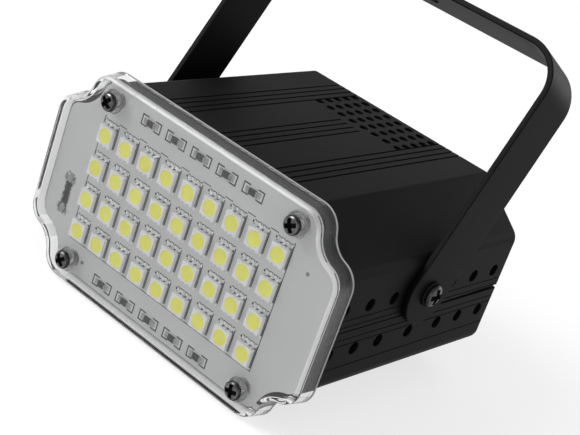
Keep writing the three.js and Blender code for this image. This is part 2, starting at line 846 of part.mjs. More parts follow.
// The bracket in its own frame: the pivot at the origin, its arms along +Z.
function bracketSolid() {
  const outerReach = bracketReach + bracketWall;
  const foot = -bracketWidth;
  const outline = (halfWidth, top, radius) =>
    roundedOutline([
      [halfWidth, foot, 0],
      [halfWidth, top, radius],
      [-halfWidth, top, radius],
      [-halfWidth, foot, 0],
    ]);
  const half = bracketWidth / 2;
  const outer = alongY(outline(armOuter, outerReach, bracketBend + bracketWall), -half, half);
  const inner = alongY(outline(armInner, bracketReach, bracketBend), -half - overrun, half + overrun);
  const across = [-armOuter - overrun, armOuter + overrun];
  const roundFoot = bar("x", half, across, [0, 0], wideSegments);
  const aboveFoot = box(across, [-half - overrun, half + overrun], [0, outerReach + overrun]);
  const strip = outer.subtract(inner).intersect(roundFoot.add(aboveFoot));
  return without(strip, [
    bore("x", pivotHoleRadius, across, [0, 0], holeSegments),
    bore(
      "z",
      bracketHoleRadius,
      [bracketReach - overrun, outerReach + overrun],
      [0, 0],
      roundSegments,
    ),
  ]);
}

function washer() {
  const profile = [
    [pivotHoleRadius, 0],
    [washerRadius, 0],
    [washerRadius, washerThickness],
    [pivotHoleRadius, washerThickness],
    [pivotHoleRadius, 0],
  ];
  return turned(profile, roundSegments);
}

// A hexagon nut about the Y axis, with its front face on y = 0.
function hexNut(across, thickness, holeRadius) {
  const corner = across / 2 / Math.cos(Math.PI / sixSides);
  const hole = bore("y", holeRadius, [-overrun, thickness + overrun], [0, 0], holeSegments);
  return bar("y", corner, [0, thickness], [0, 0], sixSides).subtract(hole);
}

function driverBoard() {
  const across = [-driverHalfWidth, driverHalfWidth];
  const board = box(across, [driverFront, driverRear], [driverBottom, driverTop]);
  const middle = driverBottom + driverThickness / 2;
  const standing = ([x, y], [width, depth, height]) =>
    box([x - width / 2, x + width / 2], [y - depth / 2, y + depth / 2], [middle, driverTop + height]);
  const soldered = [
    standing([filmOut, filmBack], [filmWidth, filmDepth, filmHeight]),
    standing([powerOut, powerBack], [powerWidth, powerDepth, powerHeight]),
    standing([chipOut, chipBack], [chipWidth, chipDepth, chipHeight]),
  ];
  const cutHeight = [driverBottom - overrun, driverTop + overrun];
  const holes = driverPins.map((place) => bore("z", driverPinHoleRadius, cutHeight, place, holeSegments));
  const bossHole = bore("z", shellBossRadius + fitGap, cutHeight, [0, shellScrewDepth], roundSegments);
  return without(joined([board, ...soldered]), [...holes, bossHole]);
}

function filterCapacitor() {
  const profile = [
    [0, 0],
    [capacitorRadius, 0],
    [capacitorRadius, capacitorHeight - capacitorRound],
    [capacitorRadius - capacitorRound, capacitorHeight],
    [0, capacitorHeight],
  ];
  return turned(profile, roundSegments);
}

// The potentiometer about the Y axis, with the rear of its body on y = 0 and its neck behind.
function potentiometer() {
  const profile = [
    [0, -controlBodyDepth],
    [controlBodyRadius, -controlBodyDepth],
    [controlBodyRadius, 0],
    [controlNeckRadius, 0],
    [controlNeckRadius, controlNeckLength],
    [controlBoreRadius, controlNeckLength],
    [controlBoreRadius, -controlBoreDepth],
    [0, -controlBoreDepth],
  ];
  return turned(profile, roundSegments);
}

// The knob about the Y axis, with its open end on y = 0 and its cap behind.
function knob() {
  const boreDepth = knobHeight - knobBottom;
  const profile = [
    [knobSkirtRadius, 0],
    [knobRadius, 0],
    [knobRadius, knobHeight - knobRound],
    [knobRadius - knobRound, knobHeight],
    [0, knobHeight],
    [0, boreDepth],
    [shaftRadius + seatGap, boreDepth],
    [shaftRadius + seatGap, knobSkirtDepth],
    [knobSkirtRadius, knobSkirtDepth],
    [knobSkirtRadius, 0],
  ];
  const body = turned(profile, wideSegments);
  const fluteOut = knobRadius + knobFluteRadius / 2;
  const flutes = Array.from({ length: knobFlutes }, (_, i) => {
    const angle = ((i + 1 / 2) * 2 * Math.PI) / knobFlutes;
    const place = [fluteOut * Math.cos(angle), fluteOut * Math.sin(angle)];
    return bar("y", knobFluteRadius, [knobSkirtDepth, knobHeight + overrun], place, fluteSegments);
  });
  const pointer = box(
    [-knobPointerWidth / 2, knobPointerWidth / 2],
    [knobHeight - knobPointerDepth, knobHeight + overrun],
    [0, knobRadius + overrun],
  );
  return without(body, [...flutes, pointer]);
}

// The cord gland about the Y axis, with the front of its flange on y = 0 and its tail behind.
function cordGland() {
  const neck = housingWall + 2 * seatGap;
  const tail = glandFlangeThickness + glandTailLength;
  const profile = [
    [glandBoreRadius, -neck - glandBarbLength],
    [glandNeckRadius, -neck - glandBarbLength],
    [glandBarbRadius, -neck],
    [glandNeckRadius, -neck],
    [glandNeckRadius, 0],
    [glandFlangeRadius, 0],
    [glandFlangeRadius, glandFlangeThickness],
    [glandTailRadius, glandFlangeThickness],
    [glandTailEndRadius, tail],
    [glandBoreRadius, tail],
    [glandBoreRadius, -neck - glandBarbLength],
  ];
  return turned(profile, roundSegments);
}

// The twin lead from the driver board's top to the back of the LED board.
function ledLead() {
  const start = new THREE.Vector3(-solderJointOut, boardBack + fitGap, solderJointUp);
  const end = new THREE.Vector3(leadDriverOut, leadDriverDepth, driverTop + fitGap);
  const route = new THREE.CubicBezierCurve3(
    start,
    start.clone().setY(leadDriverDepth),
    end.clone().setZ(solderJointUp + leadFirstBend),
    end,
  );
  const section = new THREE.Shape().absellipse(0, 0, leadHalfThickness, leadHalfWidth, 0, 2 * Math.PI);
  const geometry = new THREE.ExtrudeGeometry(section, {
    steps: leadSteps,
    curveSegments: leadSegments,
    bevelEnabled: false,
    extrudePath: route,
  });
  return solidFrom(geometry);
}

// A named piece in its place.
function piece(name, solid, material, place = [0, 0, 0]) {
  const mesh = new THREE.Mesh(geometryFrom(solid), material);
  mesh.name = name;
  mesh.position.set(...place);
  return mesh;
}

function housingPieces() {
  const walls = housingWalls(housingWall);
  const screw = panScrew(shellScrewRadius, shellScrewLength, shellScrewHeadRadius, shellScrewHeadHeight);
  const shellScrew = piece("shell_screw", screw, blackSteel, [
    0,
    shellScrewDepth,
    baseHeight + shellBossFloor - seatGap,
  ]);
  shellScrew.rotation.x = Math.PI / 2;
  return [
    piece("upper_shell", upperShell(walls), housingPlastic),
    piece("lower_shell", lowerShell(walls), housingPlastic),
    shellScrew,
  ];
}

function frontPieces() {
  const screw = panScrew(coverScrewRadius, coverScrewLength, coverScrewHeadRadius, coverScrewHeadHeight);
  const screws = coverScrewPlaces.map(([name, x, z]) =>
    piece("cover_screw_" + name, screw, blackSteel, [x, -seatGap, z]),
  );
  return [
    piece("front_cover", frontCover(), clearPlastic),
    piece("led_board", ledBoard(), boardWhite),
    ...screws,
  ];
}

function ledPieces() {
  const solid = led();
  const leds = [];
  for (let row = 0; row < ledRows; row++)
    for (let column = 0; column < ledColumns; column++) {
      const x = gridShiftX + (column - (ledColumns - 1) / 2) * ledPitchX;
      const z = gridShiftZ - (row - (ledRows - 1) / 2) * ledPitchZ;
      const name = "led_" + (row + 1) + "_" + (column + 1);
      leds.push(piece(name, solid, ledPackage, [x, boardFront - seatGap, z]));
    }
  return leds;
}

// The bracket turns about the pivot screws, which stay with the housing.
function pivotPieces() {
  const bracket = piece("bracket", bracketSolid(), bracketPaint, [0, pivotDepth, pivotHeight]);
  bracket.rotation.x = -THREE.MathUtils.degToRad(bracketTilt);
  const screw = panScrew(pivotScrewRadius, pivotScrewLength, pivotScrewHeadRadius, pivotScrewHeadHeight);
  const nut = hexNut(nutAcross, nutThickness, nutHoleRadius);
  const fasteners = sides.flatMap(([name, side]) => {
    const at = (out) => [side * out, pivotDepth, pivotHeight];
    const group = [
      piece("pivot_screw_" + name, screw, brightSteel, at(pivotScrewSeat)),
      piece("pivot_washer_" + name, washer(), rubberBlack, at(washerOuter)),
      piece("pivot_nut_" + name, nut, brightSteel, at(nutOuter)),
    ];
    for (const fastener of group) fastener.rotation.z = (side * Math.PI) / 2;
    return group;
  });
  return [bracket, ...fasteners];
}

function electricPieces() {
  const capacitor = piece("filter_capacitor", filterCapacitor(), capacitorSleeve, [
    capacitorOut,
    capacitorDepth,
    driverTop + seatGap,
  ]);
  capacitor.rotation.x = Math.PI / 2;
  return [
    piece("driver_board", driverBoard(), driverGreen),
    capacitor,
    piece("led_lead", ledLead(), leadWhite),
    piece("cord_gland", cordGland(), rubberBlack, [glandOut, housingRear + seatGap, glandUp]),
  ];
}

function controlPieces() {
  const at = (depth) => [controlOut, depth, controlUp];
  const shaft = bar("y", shaftRadius, [0, shaftRear - shaftFront], [0, 0], roundSegments);
  const nut = hexNut(controlNutAcross, controlNutThickness, controlNeckRadius + seatGap);
  return [
    piece("potentiometer", potentiometer(), controlMetal, at(controlBodyRear)),
    piece("potentiometer_nut", nut, brightSteel, at(controlNutFront)),
    piece("potentiometer_shaft", shaft, controlMetal, at(shaftFront)),
    piece("speed_knob", knob(), knobPlastic, at(knobFront)),
  ];
}

// The design frame moves so that the origin is the middle of the footprint's bounding box, on the base.
const assembly = new THREE.Group();
assembly.position.set(0, -(screwHeadFront + knobRear) / 2, -baseHeight);
assembly.add(
  ...housingPieces(),
  ...frontPieces(),
  ...ledPieces(),
  ...pivotPieces(),
  ...electricPieces(),
  ...controlPieces(),
);

const strobeLight = new THREE.Group();
strobeLight.add(assembly);

export default strobeLight;
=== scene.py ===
"""A small LED strobe light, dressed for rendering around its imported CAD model.

Pieces are made in millimetres in the design frame: y is 0 on the cover's front face and grows backwards,
x is 0 on the middle plane and z is 0 at the cover's centre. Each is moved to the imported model's frame, in
metres, when it is done.
"""

import math

import bmesh
import bpy
from mathutils import Matrix, Vector


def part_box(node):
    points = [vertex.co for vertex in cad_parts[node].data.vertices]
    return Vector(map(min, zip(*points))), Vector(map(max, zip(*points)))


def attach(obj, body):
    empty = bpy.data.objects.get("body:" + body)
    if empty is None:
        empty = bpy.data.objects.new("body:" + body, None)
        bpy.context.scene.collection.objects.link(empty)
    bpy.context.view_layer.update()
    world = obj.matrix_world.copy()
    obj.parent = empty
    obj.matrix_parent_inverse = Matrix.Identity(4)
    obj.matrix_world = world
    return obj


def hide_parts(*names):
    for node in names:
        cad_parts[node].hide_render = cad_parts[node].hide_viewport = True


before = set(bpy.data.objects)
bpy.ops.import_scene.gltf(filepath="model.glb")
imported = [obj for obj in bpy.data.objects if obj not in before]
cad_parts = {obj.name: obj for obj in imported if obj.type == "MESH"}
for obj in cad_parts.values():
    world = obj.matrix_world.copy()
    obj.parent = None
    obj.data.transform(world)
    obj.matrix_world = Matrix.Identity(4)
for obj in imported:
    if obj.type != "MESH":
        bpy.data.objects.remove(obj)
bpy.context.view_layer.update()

METRES = 0.001
cover_low, cover_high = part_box("front_cover")
ORIGIN = Vector((0, cover_low.y, (cover_low.z + cover_high.z) / 2))
TO_FRAME = Matrix.Translation(ORIGIN) @ Matrix.Scale(METRES, 4)


def node_ends(name):
    """A CAD node's lowest and highest corner in the design frame."""
    return [(corner - ORIGIN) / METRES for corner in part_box(name)]


def node_middle(name):
    low, high = node_ends(name)
    return (low + high) / 2


# Camera
LENS = 93.75
SENSOR_WIDTH = 36
SHIFT = (0.0025, 0.0006)
CLIP = (0.01, 20)
CAMERA_PLACE = Vector((0.20280, -0.31108, 0.18485))
CAMERA_AZIMUTH = math.radians(33.1625)
CAMERA_ELEVATION = math.radians(22.6783)
CAMERA_ROLL = math.radians(19.664)

# Studio
LAMPS = {
    "key_light": ((-0.95, -0.9, 1.15), 26),
    "fill_light": ((1.2, -0.7, 0.2), 7),
    "rear_light": ((0.4, 1.4, 0.2), 3.5),
}
LAMP_SIDE = 0.9
LAMP_AIM = (0, 0, 0.03)
FLOOR_RADIUS = 6
FLOOR_GLOW = 0.7
FLOOR_IN_GLOSS = 0.6  # the share of that glow that glossy surfaces see
WORLD_STRENGTH = 0.55

# Smoothness of curves and the overrun of cuts
ARC_STEPS = 10
SMALL_STEPS = 3
EDGE_STEPS = 5
CROWN_STEPS = 9
BEND_STEPS = 14
VENT_STEPS = 24
HOLE_STEPS = 28
POST_STEPS = 32
ROUND_STEPS = 48
FINE_STEPS = 96
SHARP_ANGLE = math.radians(32)
OVERRUN = 1.0
TINY = 1e-4

# Gaps
FIT_GAP = 0.3
SEAT_GAP = 0.1

# Clear cover
COVER_HALF_WIDTH = node_ends("front_cover")[1].x
COVER_HALF_HEIGHT = node_ends("front_cover")[1].z
SKIRT_DEPTH = node_ends("front_cover")[1].y
FACE_WALL = 1.8
SKIRT_WALL = 1.1
EDGE_ROUND = 1.2
INNER_ROUND = 0.6
RIM_ROUND = 0.12
BAND_FRONT = SKIRT_DEPTH - 0.65  # where the band of painted highlight along the rear rim starts
PAINTED_SHADE_WALL = -40  # the left inner wall has painted shade beyond this place
DRAFT = 0.7  # how much smaller the outline is at the front edge than at the rear rim
SIDE_ARC_RADIUS = 6.2
SIDE_ARC_UP = COVER_HALF_HEIGHT - 15.9
TOP_ARC_RADIUS = 6.3
TOP_ARC_OUT = COVER_HALF_WIDTH - 15.5
HOLLOW_RADIUS = 6.8
BOSS_RADIUS = 2.9
BOSS_FILLET = 0.5
BOSS_TAPER = 0.2
BOSS_ROOT = BOSS_RADIUS + BOSS_FILLET

# How far the faces of each zone of the cover turn forwards, backwards or aside
PAINTED_EDGE_FACING = (0.35, 0.93)
SIDE_FACING = 0.03
FILLET_FACING = (0.1, 0.95)
BAND_FACING = 0.3
SLIGHTLY = 0.2
MOSTLY = 0.5

# The zones of the cover whose grey tone paints highlights and shade onto it: material, grey tone, clearness
# and roughness
COVER_ZONES = {
    "edge": ("cover_edge_painted_highlight", 0.95, 0.5, 0.27),
    "boss": ("cover_boss_painted_shade", 0.76, 0.88, 0.4),
    "top_edge": ("cover_top_edge_painted_highlight", 0.86, 0.7, 0.25),
    "side_edge": ("cover_shaded_edge", 0.10, 0.75, 0.2),
    "low_edge": ("cover_low_edge_painted_shade", 0.5, 0.25, 0.35),
    "rim": ("cover_rim_painted_highlight", 0.52, 0.38, 0.26),
    "inner_wall": ("cover_inner_wall_painted_shade", 0.72, 0.9, 0.2),
}

# Screws
SCREW_NAMES = ("upper_left", "upper_right", "lower_left", "lower_right")
SCREW_PLACES = {name: node_middle("cover_screw_" + name) for name in SCREW_NAMES}
SCREW_AXES = [(place.x, 0, place.z) for place in SCREW_PLACES.values()]
SCREW_TURNS = {"upper_left": 52, "upper_right": 28, "lower_left": 40, "lower_right": 12}
SCREW_BORE = 1.7
SMALL_SCREW_RADIUS = 1.4
SMALL_HEAD = (2.45, 1.5)  # a head's radius and height
COVER_SCREW_LENGTH = 15
BASE_HEAD = (2.8, 1.5)
BASE_SCREW_LENGTH = 16
PIVOT_SCREW_RADIUS = 1.5
PIVOT_HEAD = (3.0, 1.6)
PIVOT_SCREW_LENGTH = 9
THREAD_PITCH = 0.7
RECESS = 1  # the places of a screw's second and third material, both painted shade
RIM_AND_SHANK_SHADE = 2

# LED board
BOARD_BACK = 5.6
BOARD_FRONT = 4.0
BOARD_RIM = 2.1  # how far the board's edge lies inside the cover's outline
COLUMNS = 9
ROWS = 4
FIRST_LED = node_middle("led_1_1")
LAST_LED = node_middle(f"led_{ROWS}_{COLUMNS}")
PITCH_X = (LAST_LED.x - FIRST_LED.x) / (COLUMNS - 1)
PITCH_Z = (FIRST_LED.z - LAST_LED.z) / (ROWS - 1)
LED_HALF = 2.5
LED_FRONT = node_ends("led_1_1")[0].y
LED_BACK = node_ends("led_1_1")[1].y
WINDOW_RADIUS = 2.1
LEAD_PITCH = 1.6
RESISTOR_PITCH = 8.85
RESISTOR_MIDDLE = -1.8
RESISTOR_ROWS = (22.3, -23.9)
RESISTORS = 5
RESISTOR_HALF = (1.6, 0.8)  # along x and z
RESISTOR_THICKNESS = 0.6
SOLDER_PLACES = ((-40.0, -3.6), (-40.0, -12.2))
SLOT_PLACE = (-40.0, -7.9)
SLOT_HALF = (0.6, 2.8)
PLATED_HOLES = ((37.7, 12.6), (-28.0, -22.2))
STAINED_END = -35  # the board's left end, beyond this place, has a material of its own
BOARD_END = 1  # the places of the board's second and third material: the stained left end, and the dark edges and back, partly painted shade
BOARD_CORE_AND_SHADE = 2

# Housing
BASE = -ORIGIN.z / METRES
HOUSING_HALF_WIDTH = node_ends("upper_shell")[1].x
HOUSING_TOP = node_ends("upper_shell")[1].z
HOUSING_REAR = node_ends("upper_shell")[1].y
HOUSING_FRONT = node_ends("upper_shell")[0].y
SHOULDER_FRONT = SKIRT_DEPTH + FIT_GAP
SHOULDER_UP = HOUSING_TOP - 11.3
SHOULDER_DOWN = BASE + 14.1
FLAT_HALF_WIDTH = HOUSING_HALF_WIDTH - 15.1
SHOULDER_ROUND = 3.5
RIDGE_ROUND = 1.8
REAR_ROUND = 0.9
WALL = 2.2
SEAM_BOTTOM = 0.1
SEAM_TOP = 0.45
SEAM_TOP_REAR = 1.3  # the seam opens a little towards the rear
LIP_HEIGHT = 1.5
PIVOT = node_middle("pivot_washer_right")
SIDE_HOLE_RADIUS = 1.72
SIDE_HOLE_OFFSETS = (13, 23, 33)
LOWER_HOLE_UP = -5.7
HOLE_CHAMFER = 0.12
POST_RADIUS = 3.2
POST_REAR = 20
POST_BORE_ENDS = (3, 16)
THREAD_BORE = SMALL_SCREW_RADIUS + SEAT_GAP
CENTRE_POST_RADIUS = 3
CENTRE_BORE_TOP = 24
CENTRE_BOSS_RADIUS = 4.4
BASE_BORE_TOP = 2
RECESS_DEPTH = 4
STANDOFF_RADIUS = 2.6
PIN_RADIUS = 1.2
PIN_PROUD = 1
POCKET_WALL = 1.8
NECK_BORE = 3.6
GLAND_BORE = 4.5
SIDE_LINES_UPPER = (1.7, 3.6)
SIDE_LINES_LOWER = (-2.0, -3.7, -10.2)
SIDE_LINE_HALF = 0.16
SIDE_LINE_DEPTH = 0.14
GROOVE_PITCH = 2.3
GROOVES = 4
GROOVE_HALF = 0.32
GROOVE_DEPTH = 0.5
GROOVE_TAPER = 0.75
GROOVE_FRONT = 9
GROOVE_GROUP_INSET = 13.1
GROOVE_VENT_GAP = 3.65
VENT_RADIUS = 1.25
VENT_PITCH = 4
VENT_COLUMNS = 8
VENT_ROWS = 5
FIRST_VENT = HOUSING_REAR - 19.55

# The housing's outline as x, z and corner radius, and spans that reach past it for cuts
HOUSING_CORNERS = [
    (FLAT_HALF_WIDTH, BASE, RIDGE_ROUND),
    (HOUSING_HALF_WIDTH, SHOULDER_DOWN, SHOULDER_ROUND),
    (HOUSING_HALF_WIDTH, SHOULDER_UP, SHOULDER_ROUND),
    (FLAT_HALF_WIDTH, HOUSING_TOP, RIDGE_ROUND),
    (-FLAT_HALF_WIDTH, HOUSING_TOP, RIDGE_ROUND),
    (-HOUSING_HALF_WIDTH, SHOULDER_UP, SHOULDER_ROUND),
    (-HOUSING_HALF_WIDTH, SHOULDER_DOWN, SHOULDER_ROUND),
    (-FLAT_HALF_WIDTH, BASE, RIDGE_ROUND),
]
WIDE = (-COVER_HALF_WIDTH - OVERRUN, COVER_HALF_WIDTH + OVERRUN)
DEEP = (-OVERRUN, HOUSING_REAR + OVERRUN)
BELOW = BASE - OVERRUN
ABOVE = HOUSING_TOP + OVERRUN

# Bracket
BRACKET_WALL = 1.6
ARM_OUTER = node_ends("bracket")[1].x
ARM_INNER = ARM_OUTER - BRACKET_WALL
BRACKET_HALF = 8.85
BRACKET_REACH = 65.2
BRACKET_BEND = 10
BEND_UP = BRACKET_REACH - BRACKET_BEND
BRACKET_TILT = math.radians(27)
BRACKET_HOLE_RADIUS = 3.5
BRACKET_EDGE_ROUND = 0.3
FOOT_INSET = 0.003  # keeps a round foot's faces off the arm's own faces

# Speed control and gland in the rear wall
KNOB_FRONT = node_ends("speed_knob")[0].y
KNOB_HEIGHT = node_ends("speed_knob")[1].y - KNOB_FRONT
CONTROL = node_middle("speed_knob")
GLAND = node_middle("cord_gland")
GLAND_SEAT = HOUSING_REAR + SEAT_GAP

# Driver board
driver_low, driver_high = node_ends("driver_board")
DRIVER_BOTTOM = driver_low.z
DRIVER_TOP = driver_low.z + 1.6
PIN_INSET = 8
DRIVER_PINS = [
    (side * (driver_high.x - PIN_INSET), y)
    for side in (-1, 1)
    for y in (driver_low.y + PIN_INSET, driver_high.y - PIN_INSET)
]
FILM_PLACE = (driver_high.x - 16, 40)
FILM_SIZE = (18, 8, 13)  # a component's width, depth and height
POWER_PLACE = (driver_high.x - 14, 57)
POWER_SIZE = (10, 4.5, 9)
CHIP_PLACE = (driver_low.x + 20, 60)
CHIP_SIZE = (6, 8, 3)


def camera():
    """The camera at the photograph's viewing angle."""
    data = bpy.data.cameras.new("camera")
    data.lens = LENS
    data.sensor_width = SENSOR_WIDTH
    data.shift_x, data.shift_y = SHIFT
    data.clip_start, data.clip_end = CLIP
    made = bpy.data.objects.new("camera", data)
    bpy.context.scene.collection.objects.link(made)
    level = Vector((-math.sin(CAMERA_AZIMUTH), math.cos(CAMERA_AZIMUTH), 0))
    forward = level * math.cos(CAMERA_ELEVATION) - Vector((0, 0, math.sin(CAMERA_ELEVATION)))
    level_right = Vector((level.y, -level.x, 0))
    level_up = level_right.cross(forward)
    up = math.cos(CAMERA_ROLL) * level_up - math.sin(CAMERA_ROLL) * level_right
    right = math.cos(CAMERA_ROLL) * level_right + math.sin(CAMERA_ROLL) * level_up
    turn = Matrix((right, up, -forward)).transposed()
    made.matrix_world = Matrix.Translation(CAMERA_PLACE) @ turn.to_4x4()
    bpy.context.scene.camera = made


def soft_lamp(name, place, watts):
    """A square lamp at a place in metres, aimed at the object."""
    data = bpy.data.lights.new(name, "AREA")
    data.shape = "SQUARE"
    data.size = LAMP_SIDE
    data.energy = watts
    lamp = bpy.data.objects.new(name, data)
    bpy.context.scene.collection.objects.link(lamp)
    lamp.location = place
    aim = Vector(LAMP_AIM) - Vector(place)
    lamp.rotation_euler = aim.to_track_quat("-Z", "Y").to_euler()


class Signal:
    """A socket in a finish's node tree, so that shader maths reads as a Python expression."""

    def __init__(self, finish, socket):
        self.finish = finish
        self.socket = socket

    def maths(self, operation, *values, flipped=False):
        terms = (*values, self) if flipped else (self, *values)
        return self.finish.node("ShaderNodeMath", {"operation": operation}, *terms)

    def __add__(self, other):
        return self.maths("ADD", other)

    __radd__ = __add__

    def __mul__(self, other):
        return self.maths("MULTIPLY", other)

    __rmul__ = __mul__

    def __sub__(self, other):
        return self.maths("SUBTRACT", other)

    def __rsub__(self, other):
        return self.maths("SUBTRACT", other, flipped=True)

    def __truediv__(self, other):
        return self.maths("DIVIDE", other)

    def __lt__(self, other):
        return self.maths("LESS_THAN", other)

    def __gt__(self, other):
        return self.maths("GREATER_THAN", other)

    def __abs__(self):
        return self.maths("ABSOLUTE")

    def larger(self, other):
        return self.maths("MAXIMUM", other)

    def smaller(self, other):
        return self.maths("MINIMUM", other)

    def wrapped(self, low, high):
        return self.maths("WRAP", high, low)

    def ramp(self, low, high):
        """0 up to low and 1 from high on, with a smooth step between."""
        settings = {"interpolation_type": "SMOOTHSTEP"}
        return self.finish.node("ShaderNodeMapRange", settings, self, low, high, 0.0, 1.0)


class Finish:
    """One material with a Principled shader, and its nodes."""

    def __init__(self, name, **constants):
        self.material = bpy.data.materials.new(name)
        self.material.use_nodes = True
        self.tree = self.material.node_tree
        self.shader = self.tree.nodes["Principled BSDF"]
        for socket, value in constants.items():
            self.shader.inputs[socket.replace("_", " ")].default_value = value

    def node(self, kind, settings, *values, output=0, **named):
        """A node with its settings, fed with values or links in the order of its sockets or by name."""
        made = self.tree.nodes.new(kind)
        for key, value in settings.items():
            setattr(made, key, value)
        feeds = [(made.inputs[i], v) for i, v in enumerate(values)]
        feeds += [(made.inputs[key.replace("_", " ")], v) for key, v in named.items()]
        for socket, value in feeds:
            if isinstance(value, Signal):
                self.tree.links.new(value.socket, socket)
            elif value is not None:
                socket.default_value = value
        return Signal(self, made.outputs[output])

    def place(self):
        """The point on the piece in metres, as a vector."""
        return self.node("ShaderNodeTexCoord", {}, output="Object")

    def millimetres(self):
        """The point's x, y and z in the design frame."""
        split = self.tree.nodes.new("ShaderNodeSeparateXYZ")
        self.tree.links.new(self.place().socket, split.inputs[0])
        shifts = [part / METRES for part in ORIGIN]
        return [Signal(self, socket) / METRES - shift for socket, shift in zip(split.outputs, shifts)]

    def grain(self, size, detail=2.0, roughness=0.5, stretch=None):
        """Noise from 0 to 1 whose spots are about the size given in millimetres."""
        where = self.place()
        if stretch:
            where = self.node("ShaderNodeMapping", {}, where, Scale=stretch)
        scale = 1 / (size * METRES)
        return self.node("ShaderNodeTexNoise", {}, where, None, scale, detail, roughness)

    def blend(self, share, first, second):
        """A colour between two, by a share from 0 to 1."""
        mixed = self.tree.nodes.new("ShaderNodeMix")
        mixed.data_type = "RGBA"
        for socket, value in ((mixed.inputs[0], share), (mixed.inputs[6], first), (mixed.inputs[7], second)):
            if isinstance(value, Signal):
                self.tree.links.new(value.socket, socket)
            elif isinstance(value, tuple):
                socket.default_value = (*value, 1.0)
            else:
                socket.default_value = value
        return Signal(self, mixed.outputs[2])

    def feed(self, **signals):
        """Links signals to the shader's inputs."""
        for name, signal in signals.items():
            self.tree.links.new(signal.socket, self.shader.inputs[name.replace("_", " ")])

    def bump(self, height, depth):
        """Relief of a height signal that spans a depth in millimetres."""
        self.feed(Normal=self.node("ShaderNodeBump", {}, Distance=depth * METRES, Height=height))


def grey(level):
    return (level, level, level)


def scaled(tone, factor):
    return tuple(factor * part for part in tone)


def moulded_finish(name, tone, roughness, gloss, grain_size, grain_depth):
    """Moulded plastic with a fine even grain and slightly uneven gloss."""
    finish = Finish(name, Specular_IOR_Level=gloss)
    cloud = finish.grain(14, 3.0, 0.55)
    fine = finish.grain(grain_size, 2.0, 0.6)
    finish.feed(Base_Color=finish.blend(cloud, scaled(tone, 0.82), scaled(tone, 1.2)))
    finish.feed(Roughness=roughness - 0.05 + cloud * 0.06 + fine * 0.06)
    finish.bump(fine, grain_depth)
    return finish.material


def bracket_finish():
    """Black paint on sheet steel, with a soft orange-peel surface."""
    finish = Finish("bracket_black_paint", Specular_IOR_Level=0.052)
    cloud = finish.grain(18, 3.0, 0.5)
    peel = finish.grain(1.1, 2.0, 0.45)
    speck = finish.grain(0.28, 2.0, 0.6)
    finish.feed(Base_Color=finish.blend(cloud, (0.003, 0.003, 0.0032), (0.0051, 0.0051, 0.0053)))
    finish.feed(Roughness=0.36 + cloud * 0.07 + speck * 0.05)
    finish.bump(peel * 0.8 + speck * 0.2, 0.03)
    return finish.material


def clear_finish():
    """Clear moulded plastic with faint handling marks."""
    tint = (0.91, 0.915, 0.915, 1.0)
    finish = Finish("cover_clear_plastic", Base_Color=tint, IOR=1.44, Transmission_Weight=1.0)
    marks = finish.grain(2.4, 4.0, 0.7, (1.0, 1.0, 0.3))
    finish.feed(Roughness=0.015 + marks.ramp(0.55, 0.75) * 0.015)
    return finish.material


def painted_zone_finish(name, tone, share, roughness):
    """The same plastic, partly milky, whose grey tone paints the highlights and shade of a zone of the cover.
    """
    finish = Finish(name, IOR=1.44, Transmission_Weight=share)
    cloud = finish.grain(1.2, 3.0, 0.6)
    finish.feed(Base_Color=finish.blend(cloud, scaled(tone, 0.94), tone))
    finish.feed(Roughness=roughness + cloud * 0.08)
    return finish.material


def metal_finish(name, tone, roughness, wear_tone, metallic=1.0):
    """Plated metal with fine turning marks and a little tarnish."""
    finish = Finish(name, Metallic=metallic)
    cloud = finish.grain(1.6, 3.0, 0.6)
    fine = finish.grain(0.18, 2.0, 0.6)
    finish.feed(Base_Color=finish.blend(cloud.ramp(0.35, 0.75), tone, wear_tone))
    finish.feed(Roughness=roughness + cloud * 0.08 + fine * 0.06)
    finish.bump(fine, 0.006)
    return finish.material


def rubber_finish(name, tone):
    """Soft black rubber."""
    finish = Finish(name, Specular_IOR_Level=0.06)
    cloud = finish.grain(3.0, 3.0, 0.6)
    fine = finish.grain(0.3, 2.0, 0.6)
    finish.feed(Base_Color=finish.blend(cloud, tone, scaled(tone, 1.5)))
    finish.feed(Roughness=0.66 + fine * 0.14)
    finish.bump(fine, 0.015)
    return finish.material


def package_finish():
    """The white moulded body of an LED, with painted shade on its sides near the board."""
    finish = Finish("led_white_package")
    depth = finish.millimetres()[1]
    cloud = finish.grain(2.0, 2.0, 0.5)
    fine = finish.grain(0.2, 2.0, 0.6)
    foot_shade_height, foot_shade_blur = 0.25, 0.2
    white = finish.blend(cloud, (0.89, 0.89, 0.92), (0.95, 0.95, 0.97))
    # painted shade: the package's sides turn dark near the board, where its foot lies in shade
    foot = depth.ramp(LED_BACK - foot_shade_height - foot_shade_blur, LED_BACK - foot_shade_height)
    finish.feed(Base_Color=finish.blend(foot, white, (0.04, 0.04, 0.045)))
    finish.feed(Roughness=0.42 + fine * 0.12)
    finish.bump(fine, 0.006)
    return finish.material


def phosphor_finish():
    """Yellow phosphor gel in the LED's window."""
    finish = Finish("led_yellow_gel", IOR=1.41)
    cloud = finish.grain(1.3, 3.0, 0.6)
    speck = finish.grain(0.12, 2.0, 0.6)
    finish.feed(Base_Color=finish.blend(cloud, (0.95, 0.91, 0.11), (0.99, 0.99, 0.178)))
    finish.feed(Roughness=0.24 + speck * 0.1)
    finish.bump(speck, 0.008)
    return finish.material


def line(offset, half_width, edge=0.05):
    """1 within half a line's width of it and 0 outside, from the distance in millimetres."""
    return 1 - abs(offset).ramp(half_width - edge, half_width + edge)


def distance_from(x, z, place):
    """The distance of a point on the board from a place on it."""
    gap_x = x - place[0]
    gap_z = z - place[1]
    return (gap_x * gap_x + gap_z * gap_z).maths("SQRT")


